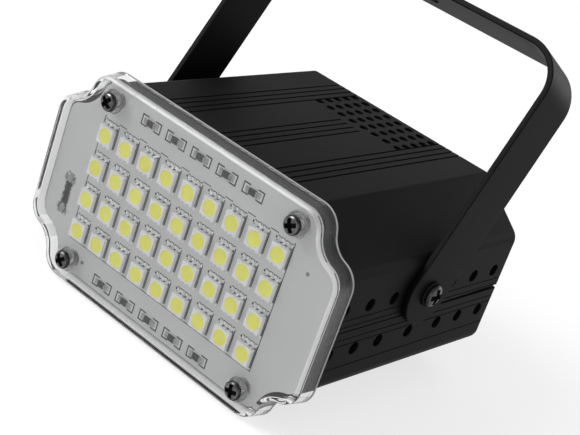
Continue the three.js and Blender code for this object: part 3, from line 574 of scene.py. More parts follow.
def led_ink_and_shadow(x, z):
    """The printed frame round the LEDs, the marks beside each LED and the tinned pads under its leads; the
    dark line along each LED's right foot is partly print and partly painted shadow.
    """
    frame_side, frame_low, frame_high = 2.85, 3.5, 4.3  # the frame's distances from the outer LEDs' centres
    frame_line_half, frame_reach = 0.13, 0.3
    foot_out, foot_up, foot_half = 2.66, 0.35, (0.16, 3.1)
    lower_down, lower_half = 2.72, (2.6, 0.1)
    pad_middle, pad_half, pad_edge_blur, row_blur = 3.2, (0.4, 0.46), 0.04, 0.02
    ring_gap, ring_half = 0.14, 0.12
    dot_out, dot_half = 2.75, (0.25, 0.3)
    middle_x = (FIRST_LED.x + LAST_LED.x) / 2
    middle_z = (FIRST_LED.z + LAST_LED.z + frame_high - frame_low) / 2
    half_x = (LAST_LED.x - FIRST_LED.x) / 2 + frame_side
    half_z = (FIRST_LED.z - LAST_LED.z + frame_high + frame_low) / 2
    outside_x = abs(x - middle_x) - half_x
    outside_z = abs(z - middle_z) - half_z
    outside = outside_x.larger(outside_z)
    inside = outside < frame_reach
    near_x = (x - FIRST_LED.x).wrapped(-PITCH_X / 2, PITCH_X / 2)
    near_z = (z - FIRST_LED.z).wrapped(-PITCH_Z / 2, PITCH_Z / 2)
    frame_gap = (abs(near_x) < LED_HALF) * (z > FIRST_LED.z)  # the top line stops at each LED's pads
    frame_line = line(outside, frame_line_half) * (1 - frame_gap)
    # partly a printed line and partly painted shadow to the right of each LED
    foot_line_and_shadow = line(near_x - foot_out, foot_half[0]) * line(near_z - foot_up, foot_half[1])
    lower_line = line(near_z + lower_down, lower_half[1]) * line(near_x, lower_half[0])
    tick = (near_x + LEAD_PITCH / 2).wrapped(-LEAD_PITCH / 2, LEAD_PITCH / 2)
    row_half = 1.5 * LEAD_PITCH
    in_pads = line(near_x, row_half, row_blur)
    pad_edge = (abs(tick) - pad_half[0]).larger(abs(abs(near_z) - pad_middle) - pad_half[1])
    pad = (1 - pad_edge.ramp(-pad_edge_blur, pad_edge_blur)) * in_pads * inside
    ring_row = line(near_x, row_half + 0.1, row_blur)
    pad_ring = line(pad_edge - ring_gap, ring_half) * (near_z > 0) * ring_row
    end_dot = line(near_x + dot_out, dot_half[0]) * line(near_z - pad_middle, dot_half[1])
    marks = foot_line_and_shadow.larger(lower_line).larger(pad_ring).larger(end_dot) * inside
    return frame_line.larger(marks), pad


def resistor_ink(x, z):
    """The open brackets printed round each resistor, and the tinned pads at its ends."""
    half_x, half_z, line_half = 3.25, 1.32, 0.2  # the bracket's half width and height, and its line's
    arm_middle, arm_half = 2.3, 1.05
    pad_middle, pad_half = 1.95, (1.0, 1.02)
    near_x = abs((x - RESISTOR_MIDDLE).wrapped(-RESISTOR_PITCH / 2, RESISTOR_PITCH / 2))
    in_row = abs(x - RESISTOR_MIDDLE) < RESISTOR_PITCH * RESISTORS / 2
    near_z = abs(z - RESISTOR_ROWS[0]).smaller(abs(z - RESISTOR_ROWS[1]))
    upright = line(near_x - half_x, line_half) * (near_z < half_z + line_half)
    level = line(near_z - half_z, line_half) * line(near_x - arm_middle, arm_half)
    pad = line(near_x - pad_middle, pad_half[0]) * (near_z < pad_half[1]) * in_row
    return upright.larger(level) * in_row, pad


def flux_stain(finish, x, z):
    """The dark ragged stain of burnt flux round the slot, and dark ragged rings round its two solder joints.
    """
    ragged = (finish.grain(0.9, 3.0, 0.7).ramp(0.36, 0.64) - 0.5) * 1.1
    stain_place, stain_half = (-39.9, -8.6), 3.0
    stain_radius, stain_end = 0.95, 1.5
    ring_radius, ring_half, ring_blur = 1.35, 0.42, 0.3
    gap_x = x - stain_place[0]
    gap_z = (abs(z - stain_place[1]) - stain_half).larger(0.0)
    from_slot = (gap_x * gap_x + gap_z * gap_z).maths("SQRT")
    stain = 1 - (from_slot + ragged * 0.55).ramp(stain_radius, stain_end)
    for place in SOLDER_PLACES:
        ring = line(distance_from(x, z, place) - ring_radius + ragged, ring_half, ring_blur)
        stain = stain.larger(ring * (0.86 + ragged * 0.6))
    return stain


def mask_tones(finish):
    """The white solder mask's colour and its fine grain."""
    cloud = finish.grain(22, 3.0, 0.5)
    fine = finish.grain(0.35, 2.0, 0.6)
    return finish.blend(cloud, (0.62, 0.623, 0.623), (0.655, 0.657, 0.655)), fine


def board_end_finish():
    """White solder mask at the board's left end, stained round the slot."""
    finish = Finish("board_white_end", Specular_IOR_Level=0.4)
    x, _, z = finish.millimetres()
    mask, fine = mask_tones(finish)
    stain = flux_stain(finish, x, z)
    finish.feed(Base_Color=finish.blend(stain, mask, grey(0.003)))
    finish.feed(Roughness=0.42 + fine * 0.1)
    finish.bump(stain * 0.5 + fine * 0.03, 0.03)
    return finish.material


def board_finish():
    """White solder mask with printed marks, painted shadow beside each LED, tinned pads and plated holes."""
    finish = Finish("board_white_mask", Specular_IOR_Level=0.4)
    hole_radius, hole_rim = 0.4, 0.62
    x, _, z = finish.millimetres()
    led_marks, led_pads = led_ink_and_shadow(x, z)
    brackets, resistor_pads = resistor_ink(x, z)
    ink_and_shadow = led_marks.larger(brackets)
    pads = led_pads.larger(resistor_pads * 0.55)
    holes = distance_from(x, z, PLATED_HOLES[0]).smaller(distance_from(x, z, PLATED_HOLES[1]))
    hole = 1 - holes.ramp(hole_radius, hole_rim)
    mask, fine = mask_tones(finish)
    tinned = finish.blend(pads, mask, grey(0.88))
    drilled = finish.blend(hole, tinned, grey(0.16))
    finish.feed(Base_Color=finish.blend(ink_and_shadow, drilled, grey(0.018)))
    finish.feed(Roughness=0.42 + fine * 0.1 - pads * 0.12)
    finish.bump(ink_and_shadow * 0.6 + fine * 0.03 - hole * 0.8, 0.02)
    return finish.material


def driver_board_finish():
    """Green solder mask over faint copper tracks."""
    finish = Finish("driver_green_mask", Specular_IOR_Level=0.5)
    track_x, track_y, track_edge = 1.3, 2.1, (0.5, 0.6)
    x, y, _ = finish.millimetres()
    cloud = finish.grain(6, 3.0, 0.5)
    track = x.wrapped(-track_x, track_x).larger(y.wrapped(-track_y, track_y)).ramp(*track_edge)
    base = finish.blend(cloud, (0.016, 0.075, 0.030), (0.022, 0.100, 0.040))
    finish.feed(Base_Color=finish.blend(track * 0.6, base, (0.035, 0.145, 0.060)))
    finish.feed(Roughness=0.34 + cloud * 0.12)
    finish.bump(track * 0.4 + cloud * 0.1, 0.03)
    return finish.material


def sleeve_finish(middle_x):
    """Shrunk plastic sleeve on a capacitor, with its pale stripe."""
    finish = Finish("capacitor_blue_sleeve")
    stripe_half = 1.4
    x, y, _ = finish.millimetres()
    cloud = finish.grain(4, 3.0, 0.5)
    stripe = line(x - middle_x, stripe_half) * (y < node_middle("filter_capacitor").y)
    base = finish.blend(cloud, (0.012, 0.020, 0.060), (0.018, 0.028, 0.080))
    finish.feed(Base_Color=finish.blend(stripe, base, (0.42, 0.44, 0.48)))
    finish.feed(Roughness=0.3 + cloud * 0.12)
    finish.bump(cloud, 0.02)
    return finish.material


def solid_object(bm, name):
    """A bmesh as a linked object at the origin."""
    mesh = bpy.data.meshes.new(name)
    bm.to_mesh(mesh)
    bm.free()
    made = bpy.data.objects.new(name, mesh)
    bpy.context.scene.collection.objects.link(made)
    return made


def merged(meshes):
    """Several bmeshes as one."""
    whole = bmesh.new()
    for bm in meshes:
        mesh = bpy.data.meshes.new("part")
        bm.to_mesh(mesh)
        bm.free()
        whole.from_mesh(mesh)
        bpy.data.meshes.remove(mesh)
    return whole


def carved(bm, tools, operation="DIFFERENCE"):
    """The bmesh after each tool is cut from it, joined to it or kept in common with it, all used up."""
    body = solid_object(bm, "body")
    helpers = [solid_object(tool, "tool") for tool in tools]
    for helper in helpers:
        step = body.modifiers.new("step", "BOOLEAN")
        step.object = helper
        step.operation = operation
        step.solver = "EXACT"
    depsgraph = bpy.context.evaluated_depsgraph_get()
    result = bmesh.new()
    result.from_mesh(body.evaluated_get(depsgraph).to_mesh())
    for used in (body, *helpers):
        data = used.data
        bpy.data.objects.remove(used)
        bpy.data.meshes.remove(data)
    bmesh.ops.remove_doubles(result, verts=result.verts, dist=10 * TINY)
    return result


def box(x, y, z):
    """A box between two places along each axis, in either order."""
    bm = bmesh.new()
    bmesh.ops.create_cube(bm, size=1)
    bmesh.ops.scale(bm, verts=bm.verts, vec=[abs(b - a) for a, b in (x, y, z)])
    bmesh.ops.translate(bm, verts=bm.verts, vec=[(a + b) / 2 for a, b in (x, y, z)])
    return bm


def is_corner(edge):
    return len(edge.link_faces) == 2 and edge.calc_face_angle(0) > SHARP_ANGLE


def softened(bm, width, steps=2, chosen=is_corner):
    """Rounds the edges that a test picks."""
    bmesh.ops.bevel(
        bm,
        geom=[edge for edge in bm.edges if chosen(edge)],
        offset=width,
        offset_type="OFFSET",
        segments=steps,
        profile=0.5,
        affect="EDGES",
        material=-1,
        clamp_overlap=True,
    )
    return bm


def arc_points(centre, radius, start, end, steps):
    """Points on an arc of a section, between two angles in degrees."""
    angles = [math.radians(start + (end - start) * step / steps) for step in range(steps + 1)]
    return [(centre[0] + radius * math.cos(a), centre[1] + radius * math.sin(a)) for a in angles]


def turned(profile, steps=ROUND_STEPS):
    """A turned piece about the Y axis, from places in radius and depth along its section."""
    bm = bmesh.new()
    points = [bm.verts.new((radius, depth, 0)) for radius, depth in profile]
    lines = [bm.edges.new(pair) for pair in zip(points, points[1:])]
    bmesh.ops.spin(
        bm,
        geom=points + lines,
        cent=(0, 0, 0),
        axis=(0, 1, 0),
        angle=2 * math.pi,
        steps=steps,
        use_merge=True,
        use_duplicate=False,
    )
    bmesh.ops.remove_doubles(bm, verts=bm.verts, dist=TINY)
    bmesh.ops.recalc_face_normals(bm, faces=bm.faces)
    return bm


def moved(bm, place):
    bmesh.ops.translate(bm, verts=bm.verts, vec=place)
    return bm


TURNS = {
    "y": Matrix.Identity(3),
    "x": Matrix.Rotation(-math.pi / 2, 3, "Z"),
    "-x": Matrix.Rotation(math.pi / 2, 3, "Z"),
    "z": Matrix.Rotation(math.pi / 2, 3, "X"),
    "-z": Matrix.Rotation(-math.pi / 2, 3, "X"),
}


def aimed(bm, axis):
    """A piece made about the Y axis, turned so that its +Y end points along another axis."""
    bmesh.ops.rotate(bm, verts=bm.verts, cent=(0, 0, 0), matrix=TURNS[axis])
    return bm


def bar(axis, radius, start, end, place, steps=HOLE_STEPS):
    """A round bar along an axis between two places on it, through a point."""
    bm = turned([(0, start), (radius, start), (radius, end), (0, end)], steps)
    return moved(aimed(bm, axis), place)


def flared_cut(axis, radius, start, surface, place, steps=HOLE_STEPS, flare=HOLE_CHAMFER):
    """A round cut that opens into a small chamfer where it comes out of a surface."""
    wide = radius + flare + OVERRUN
    top = surface + OVERRUN
    profile = [(0, start), (radius, start), (radius, surface - flare), (wide, top), (0, top)]
    return moved(aimed(turned(profile, steps), axis), place)


def through_cut(radius, half_span, place, steps=HOLE_STEPS, flare=HOLE_CHAMFER):
    """A round cut along X through both side walls, with a small chamfer at each outer face."""
    reach = half_span + OVERRUN
    wide = radius + flare + OVERRUN
    straight = half_span - flare
    profile = [(0, -reach), (wide, -reach), (radius, -straight)]
    profile += [(radius, straight), (wide, reach), (0, reach)]
    return moved(aimed(turned(profile, steps), "x"), place)


def rounded_points(bm, points, offset, steps):
    """Rounds a flat face at some of its corners, from how far back along the sides each arc starts."""
    bmesh.ops.bevel(
        bm,
        geom=points,
        offset=offset,
        offset_type="OFFSET",
        segments=steps,
        profile=0.5,
        affect="VERTICES",
        material=-1,
    )


def corner_polygon(corners, depth):
    """A flat face at a depth whose corners, given as x, z and radius, are rounded."""
    bm = bmesh.new()
    points = [bm.verts.new((x, depth, z)) for x, z, _ in corners]
    bm.faces.new(points)
    places = [Vector(corner[:2]) for corner in corners]
    for i, (point, (_, _, radius)) in enumerate(zip(points, corners)):
        if not radius:
            continue
        back = places[i - 1] - places[i]
        ahead = places[(i + 1) % len(places)] - places[i]
        rounded_points(bm, [point], radius / math.tan(back.angle(ahead) / 2), ARC_STEPS)
    return bm


def inset_corners(corners, distance):
    """The same corners with every side moved inwards."""
    places = [Vector(corner[:2]) for corner in corners]
    result = []
    for i, (x, z, radius) in enumerate(corners):
        before = (places[i] - places[i - 1]).normalized()
        after = (places[(i + 1) % len(places)] - places[i]).normalized()
        first = Vector((-before.y, before.x))
        second = Vector((-after.y, after.x))
        shift = (first + second) * (distance / (1 + first.dot(second)))
        result.append((x + shift.x, z + shift.y, max(radius - distance, 0)))
    return result


def pushed(bm, faces, vec):
    """Extrudes faces along a vector and returns the faces at the far end."""
    made = bmesh.ops.extrude_face_region(bm, geom=faces)["geom"]
    bmesh.ops.translate(bm, verts=[item for item in made if isinstance(item, bmesh.types.BMVert)], vec=vec)
    return [item for item in made if isinstance(item, bmesh.types.BMFace)]


def traced_arc(bm, start, centre, angle):
    """Spins a point about a centre in the XZ plane and returns the last point."""
    spun = bmesh.ops.spin(
        bm,
        geom=[start],
        cent=(centre[0], start.co.y, centre[1]),
        axis=(0, -1, 0),
        angle=angle,
        steps=ARC_STEPS,
        use_duplicate=False,
    )
    return next(item for item in spun["geom_last"] if isinstance(item, bmesh.types.BMVert))


def angle_from(centre, point):
    return math.atan2(point.y - centre.y, point.x - centre.x)


def cover_ring(bm, depth, distance):
    """The cover's outline at a depth, moved inwards by a distance, as a closed loop of edges."""
    side_centre = Vector((COVER_HALF_WIDTH - SIDE_ARC_RADIUS, SIDE_ARC_UP))
    top_centre = Vector((TOP_ARC_OUT, COVER_HALF_HEIGHT - TOP_ARC_RADIUS))
    to_side = SIDE_ARC_RADIUS + HOLLOW_RADIUS
    to_top = TOP_ARC_RADIUS + HOLLOW_RADIUS
    base = top_centre - side_centre
    along = (to_side**2 - to_top**2 + base.length_squared) / (2 * base.length)
    across = math.sqrt(to_side**2 - along**2)
    unit = base.normalized()
    hollow_centre = side_centre + unit * along + Vector((unit.y, -unit.x)) * across
    side_turn = angle_from(side_centre, hollow_centre)
    top_start = angle_from(top_centre, hollow_centre)
    old = set(bm.verts)
    out = COVER_HALF_WIDTH - distance
    middle = bm.verts.new((out, depth, 0))
    corner = bm.verts.new((out, depth, side_centre.y))
    bm.edges.new((middle, corner))
    corner = traced_arc(bm, corner, side_centre, side_turn)
    corner = traced_arc(bm, corner, hollow_centre, top_start - side_turn)
    corner = traced_arc(bm, corner, top_centre, math.pi / 2 - top_start)
    bm.edges.new((corner, bm.verts.new((0, depth, COVER_HALF_HEIGHT - distance))))
    for axis in ("X", "Z"):
        points = [vert for vert in bm.verts if vert not in old]
        lines = [edge for edge in bm.edges if edge.verts[0] not in old]
        bmesh.ops.mirror(bm, geom=points + lines, axis=axis, merge_dist=TINY)
    return [edge for edge in bm.edges if edge.verts[0] not in old]


def cover_block(levels):
    """A closed solid through the cover's outline at each distance and depth, from back to front."""
    bm = bmesh.new()
    rings = [cover_ring(bm, depth, distance) for distance, depth in levels]
    for first, second in zip(rings, rings[1:]):
        bmesh.ops.bridge_loops(bm, edges=first + second)
    for ring in (rings[0], rings[-1]):
        bmesh.ops.contextual_create(bm, geom=ring)
    bmesh.ops.recalc_face_normals(bm, faces=bm.faces)
    return bm


def draft_at(depth):
    """How far the cover's side lies inside its rear rim at a depth."""
    return DRAFT * (SKIRT_DEPTH - depth) / (SKIRT_DEPTH - EDGE_ROUND)


def finished(bm, name, body, materials, slot, *nodes):
    """A bmesh as a named piece of the object, smooth between its sharp edges, riding on a body."""
    bm.transform(TO_FRAME)
    bm.normal_update()
    for face in bm.faces:
        face.smooth = True
    for edge in bm.edges:
        edge.smooth = not is_corner(edge)
    piece = solid_object(bm, name)
    for material in materials:
        piece.data.materials.append(material)
    weighted = piece.modifiers.new("even shading", "WEIGHTED_NORMAL")
    weighted.keep_sharp = True
    weighted.weight = 100
    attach(piece, body)
    if nodes:
        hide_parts(*nodes)


def cover_shell():
    """The cover's face, edge, drawn-in corners and skirt."""
    rim = [(RIM_ROUND, SKIRT_DEPTH), (0, SKIRT_DEPTH - RIM_ROUND), (draft_at(BAND_FRONT), BAND_FRONT)]
    edge = arc_points((DRAFT + EDGE_ROUND, EDGE_ROUND), EDGE_ROUND, 180, 270, EDGE_STEPS)
    back = SKIRT_DEPTH + OVERRUN
    inner_side = SKIRT_WALL + draft_at(FACE_WALL + INNER_ROUND)
    inner_centre = (inner_side + INNER_ROUND, FACE_WALL + INNER_ROUND)
    inner_edge = arc_points(inner_centre, INNER_ROUND, 180, 270, SMALL_STEPS)
    inner = cover_block([(SKIRT_WALL + draft_at(back), back), *inner_edge])
    return carved(cover_block(rim + edge), [inner])


def cover_boss():
    """A tapered screw boss behind the cover's face, with a fillet round its root."""
    tip, end, bevel = BOSS_RADIUS - BOSS_TAPER, BOARD_FRONT - SEAT_GAP, 0.15
    profile = [(0, FACE_WALL / 2), (BOSS_ROOT, FACE_WALL / 2)]
    profile += arc_points((BOSS_ROOT, FACE_WALL + BOSS_FILLET), BOSS_FILLET, -90, -180, SMALL_STEPS)
    profile += [(tip, end - bevel), (tip - bevel, end), (0, end)]
    return turned(profile)


def cover_zone(face):
    """The zone of painted light and shade that a face of the cover belongs to, or None where it is clear."""
    place, facing = face.calc_center_median(), face.normal
    forwards = -facing.y
    from_screw = min(math.hypot(place.x - x, place.z - z) for x, _, z in SCREW_AXES)
    off_bosses = from_screw > BOSS_ROOT
    on_boss = place.y > FACE_WALL + TINY and SCREW_BORE + SEAT_GAP < from_screw < BOSS_ROOT
    on_round = place.y < EDGE_ROUND
    on_edge = on_round and PAINTED_EDGE_FACING[0] < forwards < PAINTED_EDGE_FACING[1] and off_bosses
    on_side_edge = on_round and SIDE_FACING < forwards < PAINTED_EDGE_FACING[0]
    in_fillet = FACE_WALL < place.y < FACE_WALL + INNER_ROUND
    on_fillet = in_fillet and FILLET_FACING[0] < facing.y < FILLET_FACING[1]
    in_low_corner = place.x > TOP_ARC_OUT and place.z < -SIDE_ARC_UP
    outwards = facing.x * place.x + facing.z * place.z > 0
    if BAND_FRONT < place.y < SKIRT_DEPTH - RIM_ROUND and forwards < BAND_FACING and outwards:
        return "rim"
    if on_edge and facing.z > SLIGHTLY:
        return "top_edge"
    if on_edge and not in_low_corner:
        return "low_edge" if min(facing.x, facing.z) < -SLIGHTLY else "edge"
    if on_boss:
        return "boss"
    if on_fillet and facing.z < -SLIGHTLY and off_bosses:
        return "top_edge"
    if place.y > EDGE_ROUND and place.x < PAINTED_SHADE_WALL and facing.x > MOSTLY and off_bosses:
        return "inner_wall"
    if on_side_edge and facing.x > MOSTLY:
        return "side_edge"
    return None


def front_cover():
    """The clear cover with its four screw bosses and their bores."""
    bosses = [moved(cover_boss(), place) for place in SCREW_AXES]
    shell = carved(cover_shell(), [merged(bosses)], "UNION")
    bores = [bar("y", SCREW_BORE, -OVERRUN, BOARD_BACK, place) for place in SCREW_AXES]
    shell = carved(shell, [merged(bores)])
    shell.normal_update()
    # faces in each zone get a grey tone that paints highlights and shade onto the cover
    zones = list(COVER_ZONES)
    for face in shell.faces:
        zone = cover_zone(face)
        if zone:
            face.material_index = 1 + zones.index(zone)
    materials = [clear_finish()]
    for name, tone, clearness, roughness in COVER_ZONES.values():
        materials.append(painted_zone_finish(name, grey(tone), clearness, roughness))
    finished(shell, "clear_front_cover", "housing", materials, "clear_plastic", "front_cover")


def cross_recess(head_radius, head_height):
    """The two tapered wings of the cross that is cut into a screw's head."""
    reach = 0.83 * head_radius
    half = 0.27 * head_radius
    depth = 0.78 * head_height
    taper = 0.8
    wings = []
    deep = (-head_height - OVERRUN, depth - head_height)
    for half_x, half_z in ((reach, half), (half, reach)):
        wing = box((-half_x, half_x), deep, (-half_z, half_z))
        low = [vert for vert in wing.verts if vert.co.y > -head_height]
        bmesh.ops.scale(wing, verts=low, vec=(taper, 1, taper))
        wings.append(wing)
    return wings


def thread(radius, depth, start, turns):
    """The section of a thread along an outline: its ridges' radius and depth, and where it starts."""
    points = []
    for turn in range(turns):
        ridge = start + turn * THREAD_PITCH
        points += [(radius, ridge), (radius - depth, ridge + THREAD_PITCH / 2)]
    return points


def pan_screw(radius, length, head):
    """A pan-head screw along Y with its head's underside on y = 0 and its point behind."""
    head_radius, head_height = head
    side = 0.32 * head_height
    crown_height = head_height - side
    rim, plain, thread_depth = 0.08, 0.6, 0.18
    rim_start, recess_end, recess_floor, crown_slack, crown_facing = 0.9, 0.85, 0.93, 0.03, 0.3
    crown = arc_points((0, 0), 1, -90, 0, CROWN_STEPS)
    profile = [(x * head_radius, y * crown_height - side) for x, y in crown]
    profile += [(head_radius, -rim), (head_radius - rim, 0), (radius, 0)]
    profile += thread(radius, thread_depth, plain, int((length - radius - plain) / THREAD_PITCH))
    profile += [(radius, length - radius), (0, length)]
    screw = turned(profile)
    for wing in cross_recess(head_radius, head_height):
        screw = carved(screw, [wing])
    screw.normal_update()
    # the crown keeps the first material; the recess and the head's rim, side and shank get painted shade
    for face in screw.faces:
        middle = face.calc_center_median()
        out = math.hypot(middle.x, middle.z) / head_radius
        from_crown = abs(math.hypot(out, (middle.y + side) / crown_height) - 1)
        on_crown = from_crown < crown_slack and face.normal.y < -crown_facing
        if out > rim_start or middle.y > 0:
            face.material_index = RIM_AND_SHANK_SHADE
        elif out < recess_end and not on_crown and middle.y > -recess_floor * head_height:
            face.material_index = RECESS
    return screw


def black_screws(recess_shade, rim_shade):
    """The four screws of the cover and the one in the base, with a painted highlight on their heads' tops and
    painted shade round their rims.
    """
    crown_highlight = metal_finish("screw_crown_painted_highlight", grey(0.11), 0.16, grey(0.24))
    materials = [crown_highlight, recess_shade, rim_shade]
    for name, place in SCREW_PLACES.items():
        screw = pan_screw(SMALL_SCREW_RADIUS, COVER_SCREW_LENGTH, SMALL_HEAD)
        turn = Matrix.Rotation(math.radians(-SCREW_TURNS[name]), 4, "Y")
        bmesh.ops.transform(screw, verts=screw.verts, matrix=turn)
        moved(screw, (place.x, -SEAT_GAP, place.z))
        finished(screw, "black_screw_" + name, "housing", materials, "black_steel", "cover_screw_" + name)
    low, high = node_ends("shell_screw")
    seat = (0, (low.y + high.y) / 2, low.z + BASE_HEAD[1])
    screw = moved(aimed(pan_screw(SMALL_SCREW_RADIUS, BASE_SCREW_LENGTH, BASE_HEAD), "z"), seat)
    finished(screw, "black_screw_base", "housing", materials, "black_steel", "shell_screw")


def runs_deep(edge):
    """Whether an edge runs from the front to the back, and not across."""
    return abs(edge.verts[0].co.y - edge.verts[1].co.y) > OVERRUN


def led_board():
    """The dark board under its white mask, which is printed a little towards the lower left."""
    rim = BOARD_RIM + draft_at(BOARD_FRONT)
    mask_depth, mask_inset, mask_shift = 0.06, 0.34, 0.2
    end_gap, end_steps = 0.05, 4
    board = cover_block([(rim, BOARD_BACK), (rim, BOARD_FRONT + mask_depth)])
    mask = cover_block([(rim + mask_inset, BOARD_FRONT + 2 * mask_depth), (rim + mask_inset, BOARD_FRONT)])
    moved(mask, (-mask_shift, 0, -mask_shift))
    board = carved(board, [mask], "UNION")
    cut = (0, BOARD_BACK + OVERRUN)
    holes = [bar("y", SCREW_BORE, *cut, place) for place in SCREW_AXES]
    (x, z), (half_x, half_z) = SLOT_PLACE, SLOT_HALF
    slot = box((x - half_x, x + half_x), cut, (z - half_z, z + half_z))
    softened(slot, half_x - end_gap, end_steps, runs_deep)
    board = carved(board, [merged([*holes, slot])])
    everything = board.verts[:] + board.edges[:] + board.faces[:]
    split = (STAINED_END, 0, 0)
    bmesh.ops.bisect_plane(board, geom=everything, dist=TINY, plane_co=split, plane_no=(1, 0, 0))
    board.normal_update()
    # the board's edges and back are very dark, partly the core's own colour and partly painted shade under
    # the cover's skirt
    for face in board.faces:
        middle = face.calc_center_median()
        in_front = middle.y < BOARD_FRONT + mask_depth / 2
        if abs(face.normal.y) < MOSTLY or face.normal.y < 0 and not in_front:
            face.material_index = BOARD_CORE_AND_SHADE
        elif in_front and middle.x < STAINED_END:
            face.material_index = BOARD_END
    core = moulded_finish("board_dark_core_and_painted_shade", grey(0.022), 0.6, 0.2, 0.3, 0.02)
    materials = [board_finish(), board_end_finish(), core]
    finished(board, "white_led_board", "housing", materials, "board_white", "led_board")


def solder_joints(dull):
    """The two blobs of solder above and below the slot."""
    section = [(0, -0.55), (0.4, -0.52), (0.7, -0.4), (0.9, -0.2), (1.05, 0.0), (1.05, 0.3), (0, 0.3)]
    blobs = []
    for x, z in SOLDER_PLACES:
        blob = turned(section, HOLE_STEPS)
        bmesh.ops.scale(blob, verts=blob.verts, vec=(0.92, 1, 1.12))
        blobs.append(moved(blob, (x, BOARD_FRONT, z)))
    finished(merged(blobs), "solder_joints", "housing", [dull], "board_white")


def resistors(dull):
    """Chip resistors with a dark glazed middle, tinned ends and fillets of solder."""
    half_x, half_z = RESISTOR_HALF
    glaze_half, glaze_round, end_round, proud = 1.08, 0.06, 0.12, 0.02
    fillet_end, fillet_sink, fillet_drop, near = 2.6, 0.25, 0.3, 0.1
    front, back = BOARD_FRONT - RESISTOR_THICKNESS, BOARD_FRONT - 0.02
    bodies, ends = [], []
    for z in RESISTOR_ROWS:
        for i in range(RESISTORS):
            x = RESISTOR_MIDDLE + (i - (RESISTORS - 1) / 2) * RESISTOR_PITCH
            across = (z - half_z, z + half_z)
            bodies.append(softened(box((x - glaze_half, x + glaze_half), (front, back), across), glaze_round))
            for side in (-1, 1):
                inner, outer = x + side * glaze_half, x + side * half_x
                ends.append(softened(box((inner, outer), (front - proud, back), across), end_round))
                wedge = box((outer, x + side * fillet_end), (front + fillet_sink, back), across)
                toe = [v for v in wedge.verts if abs(v.co.x - x) > half_x + near and v.co.y < back - near]
                bmesh.ops.translate(wedge, verts=toe, vec=(0, fillet_drop, 0))
                ends.append(wedge)
    glazed = moulded_finish("resistor_dark_glaze", (0.02, 0.02, 0.021), 0.4, 0.25, 0.2, 0.006)
    finished(merged(bodies), "resistor_bodies", "housing", [glazed], "board_white")
    finished(merged(ends), "resistor_ends", "housing", [dull], "board_white")


def led_package():
    """The white body with its round cup."""
    face_scale, edge_round, cup_depth, cup_taper, cup_lip = 0.985, 0.1, 0.35, 0.15, 0.01
    body = box((-LED_HALF, LED_HALF), (LED_FRONT, LED_BACK), (-LED_HALF, LED_HALF))
    face = [vert for vert in body.verts if vert.co.y < (LED_FRONT + LED_BACK) / 2]
    bmesh.ops.scale(body, verts=face, vec=(face_scale, 1, face_scale))
    softened(body, edge_round)
    floor, lip, above = LED_FRONT + cup_depth, LED_FRONT - cup_lip, LED_FRONT - OVERRUN
    section = [(0, floor), (WINDOW_RADIUS - cup_taper, floor), (WINDOW_RADIUS, lip), (WINDOW_RADIUS, above)]
    return carved(body, [turned([*section, (0, above)], HOLE_STEPS)])


def led_gel():
    """The slightly hollow surface of the gel that fills the cup."""
    surface = [(0, 0.1), (1.0, 0.095), (1.6, 0.075), (WINDOW_RADIUS - 0.04, 0.03)]
    below = [(WINDOW_RADIUS - 0.14, 0.34), (0, 0.34)]
    return turned([(radius, LED_FRONT + depth) for radius, depth in surface + below], HOLE_STEPS)


def led_leads():
    """Three bent leads above and below the body, with solder at their feet."""
    half, lead_front, foot_front, bend_round = 0.42, 3.15, 3.72, 0.07
    lead_span = (LED_HALF - 0.1, LED_HALF + 0.28)
    foot_span = (LED_HALF + 0.1, LED_HALF + 0.95)
    lead_back, foot_back, foot_drop = LED_BACK + 0.03, BOARD_FRONT - 0.01, 0.2
    foot_middle, near = sum(foot_span) / 2, 0.1
    leads = []
    for side in (-1, 1):
        for i in (-1, 0, 1):
            across = (i * LEAD_PITCH - half, i * LEAD_PITCH + half)
            lead = box(across, (lead_front, lead_back), [side * up for up in lead_span])
            leads.append(softened(lead, bend_round))
            foot = box(across, (foot_front, foot_back), [side * up for up in foot_span])
            toe = [v for v in foot.verts if abs(v.co.z) > foot_middle and v.co.y < foot_back - near]
            bmesh.ops.translate(foot, verts=toe, vec=(0, foot_drop, 0))
            leads.append(foot)
    return merged(leads)


def leds(tin):
    """All the LEDs as three pieces: bodies, gel windows and leads."""
    nodes = [f"led_{row + 1}_{column + 1}" for row in range(ROWS) for column in range(COLUMNS)]
    places = [(middle.x, 0, middle.z) for middle in map(node_middle, nodes)]
    bodies = merged([moved(led_package(), place) for place in places])
    finished(bodies, "led_packages", "housing", [package_finish()], "led_package", *nodes)
    windows = merged([moved(led_gel(), place) for place in places])
    finished(windows, "led_windows", "housing", [phosphor_finish()], "led_package")
    leads = merged([moved(led_leads(), place) for place in places])
    finished(leads, "led_leads", "housing", [tin], "led_package")


def housing_prism(distance, front, rear):
    """The housing's outline, moved inwards by a distance, as a solid between two depths."""
    bm = corner_polygon(inset_corners(HOUSING_CORNERS, distance), front)
    pushed(bm, bm.faces[:], (0, rear - front, 0))
    bmesh.ops.recalc_face_normals(bm, faces=bm.faces)
    return bm


def housing_walls():
    """The whole housing as a thin box, open at the front."""
    full = housing_prism(0, HOUSING_FRONT - 2 * OVERRUN, HOUSING_REAR)
    softened(full, REAR_ROUND, 4, lambda edge: all(vert.co.y > HOUSING_REAR - TINY for vert in edge.verts))
    rim = BOARD_RIM + draft_at(HOUSING_FRONT)
    inside_rim = cover_block([(rim, HOUSING_REAR), (rim, HOUSING_FRONT)])
    behind = box(WIDE, (SHOULDER_FRONT, HOUSING_REAR + OVERRUN), (BELOW, ABOVE))
    full = carved(full, [carved(behind, [inside_rim], "UNION")], "INTERSECT")
    return carved(full, [housing_prism(WALL, HOUSING_FRONT - 3 * OVERRUN, HOUSING_REAR - WALL)])


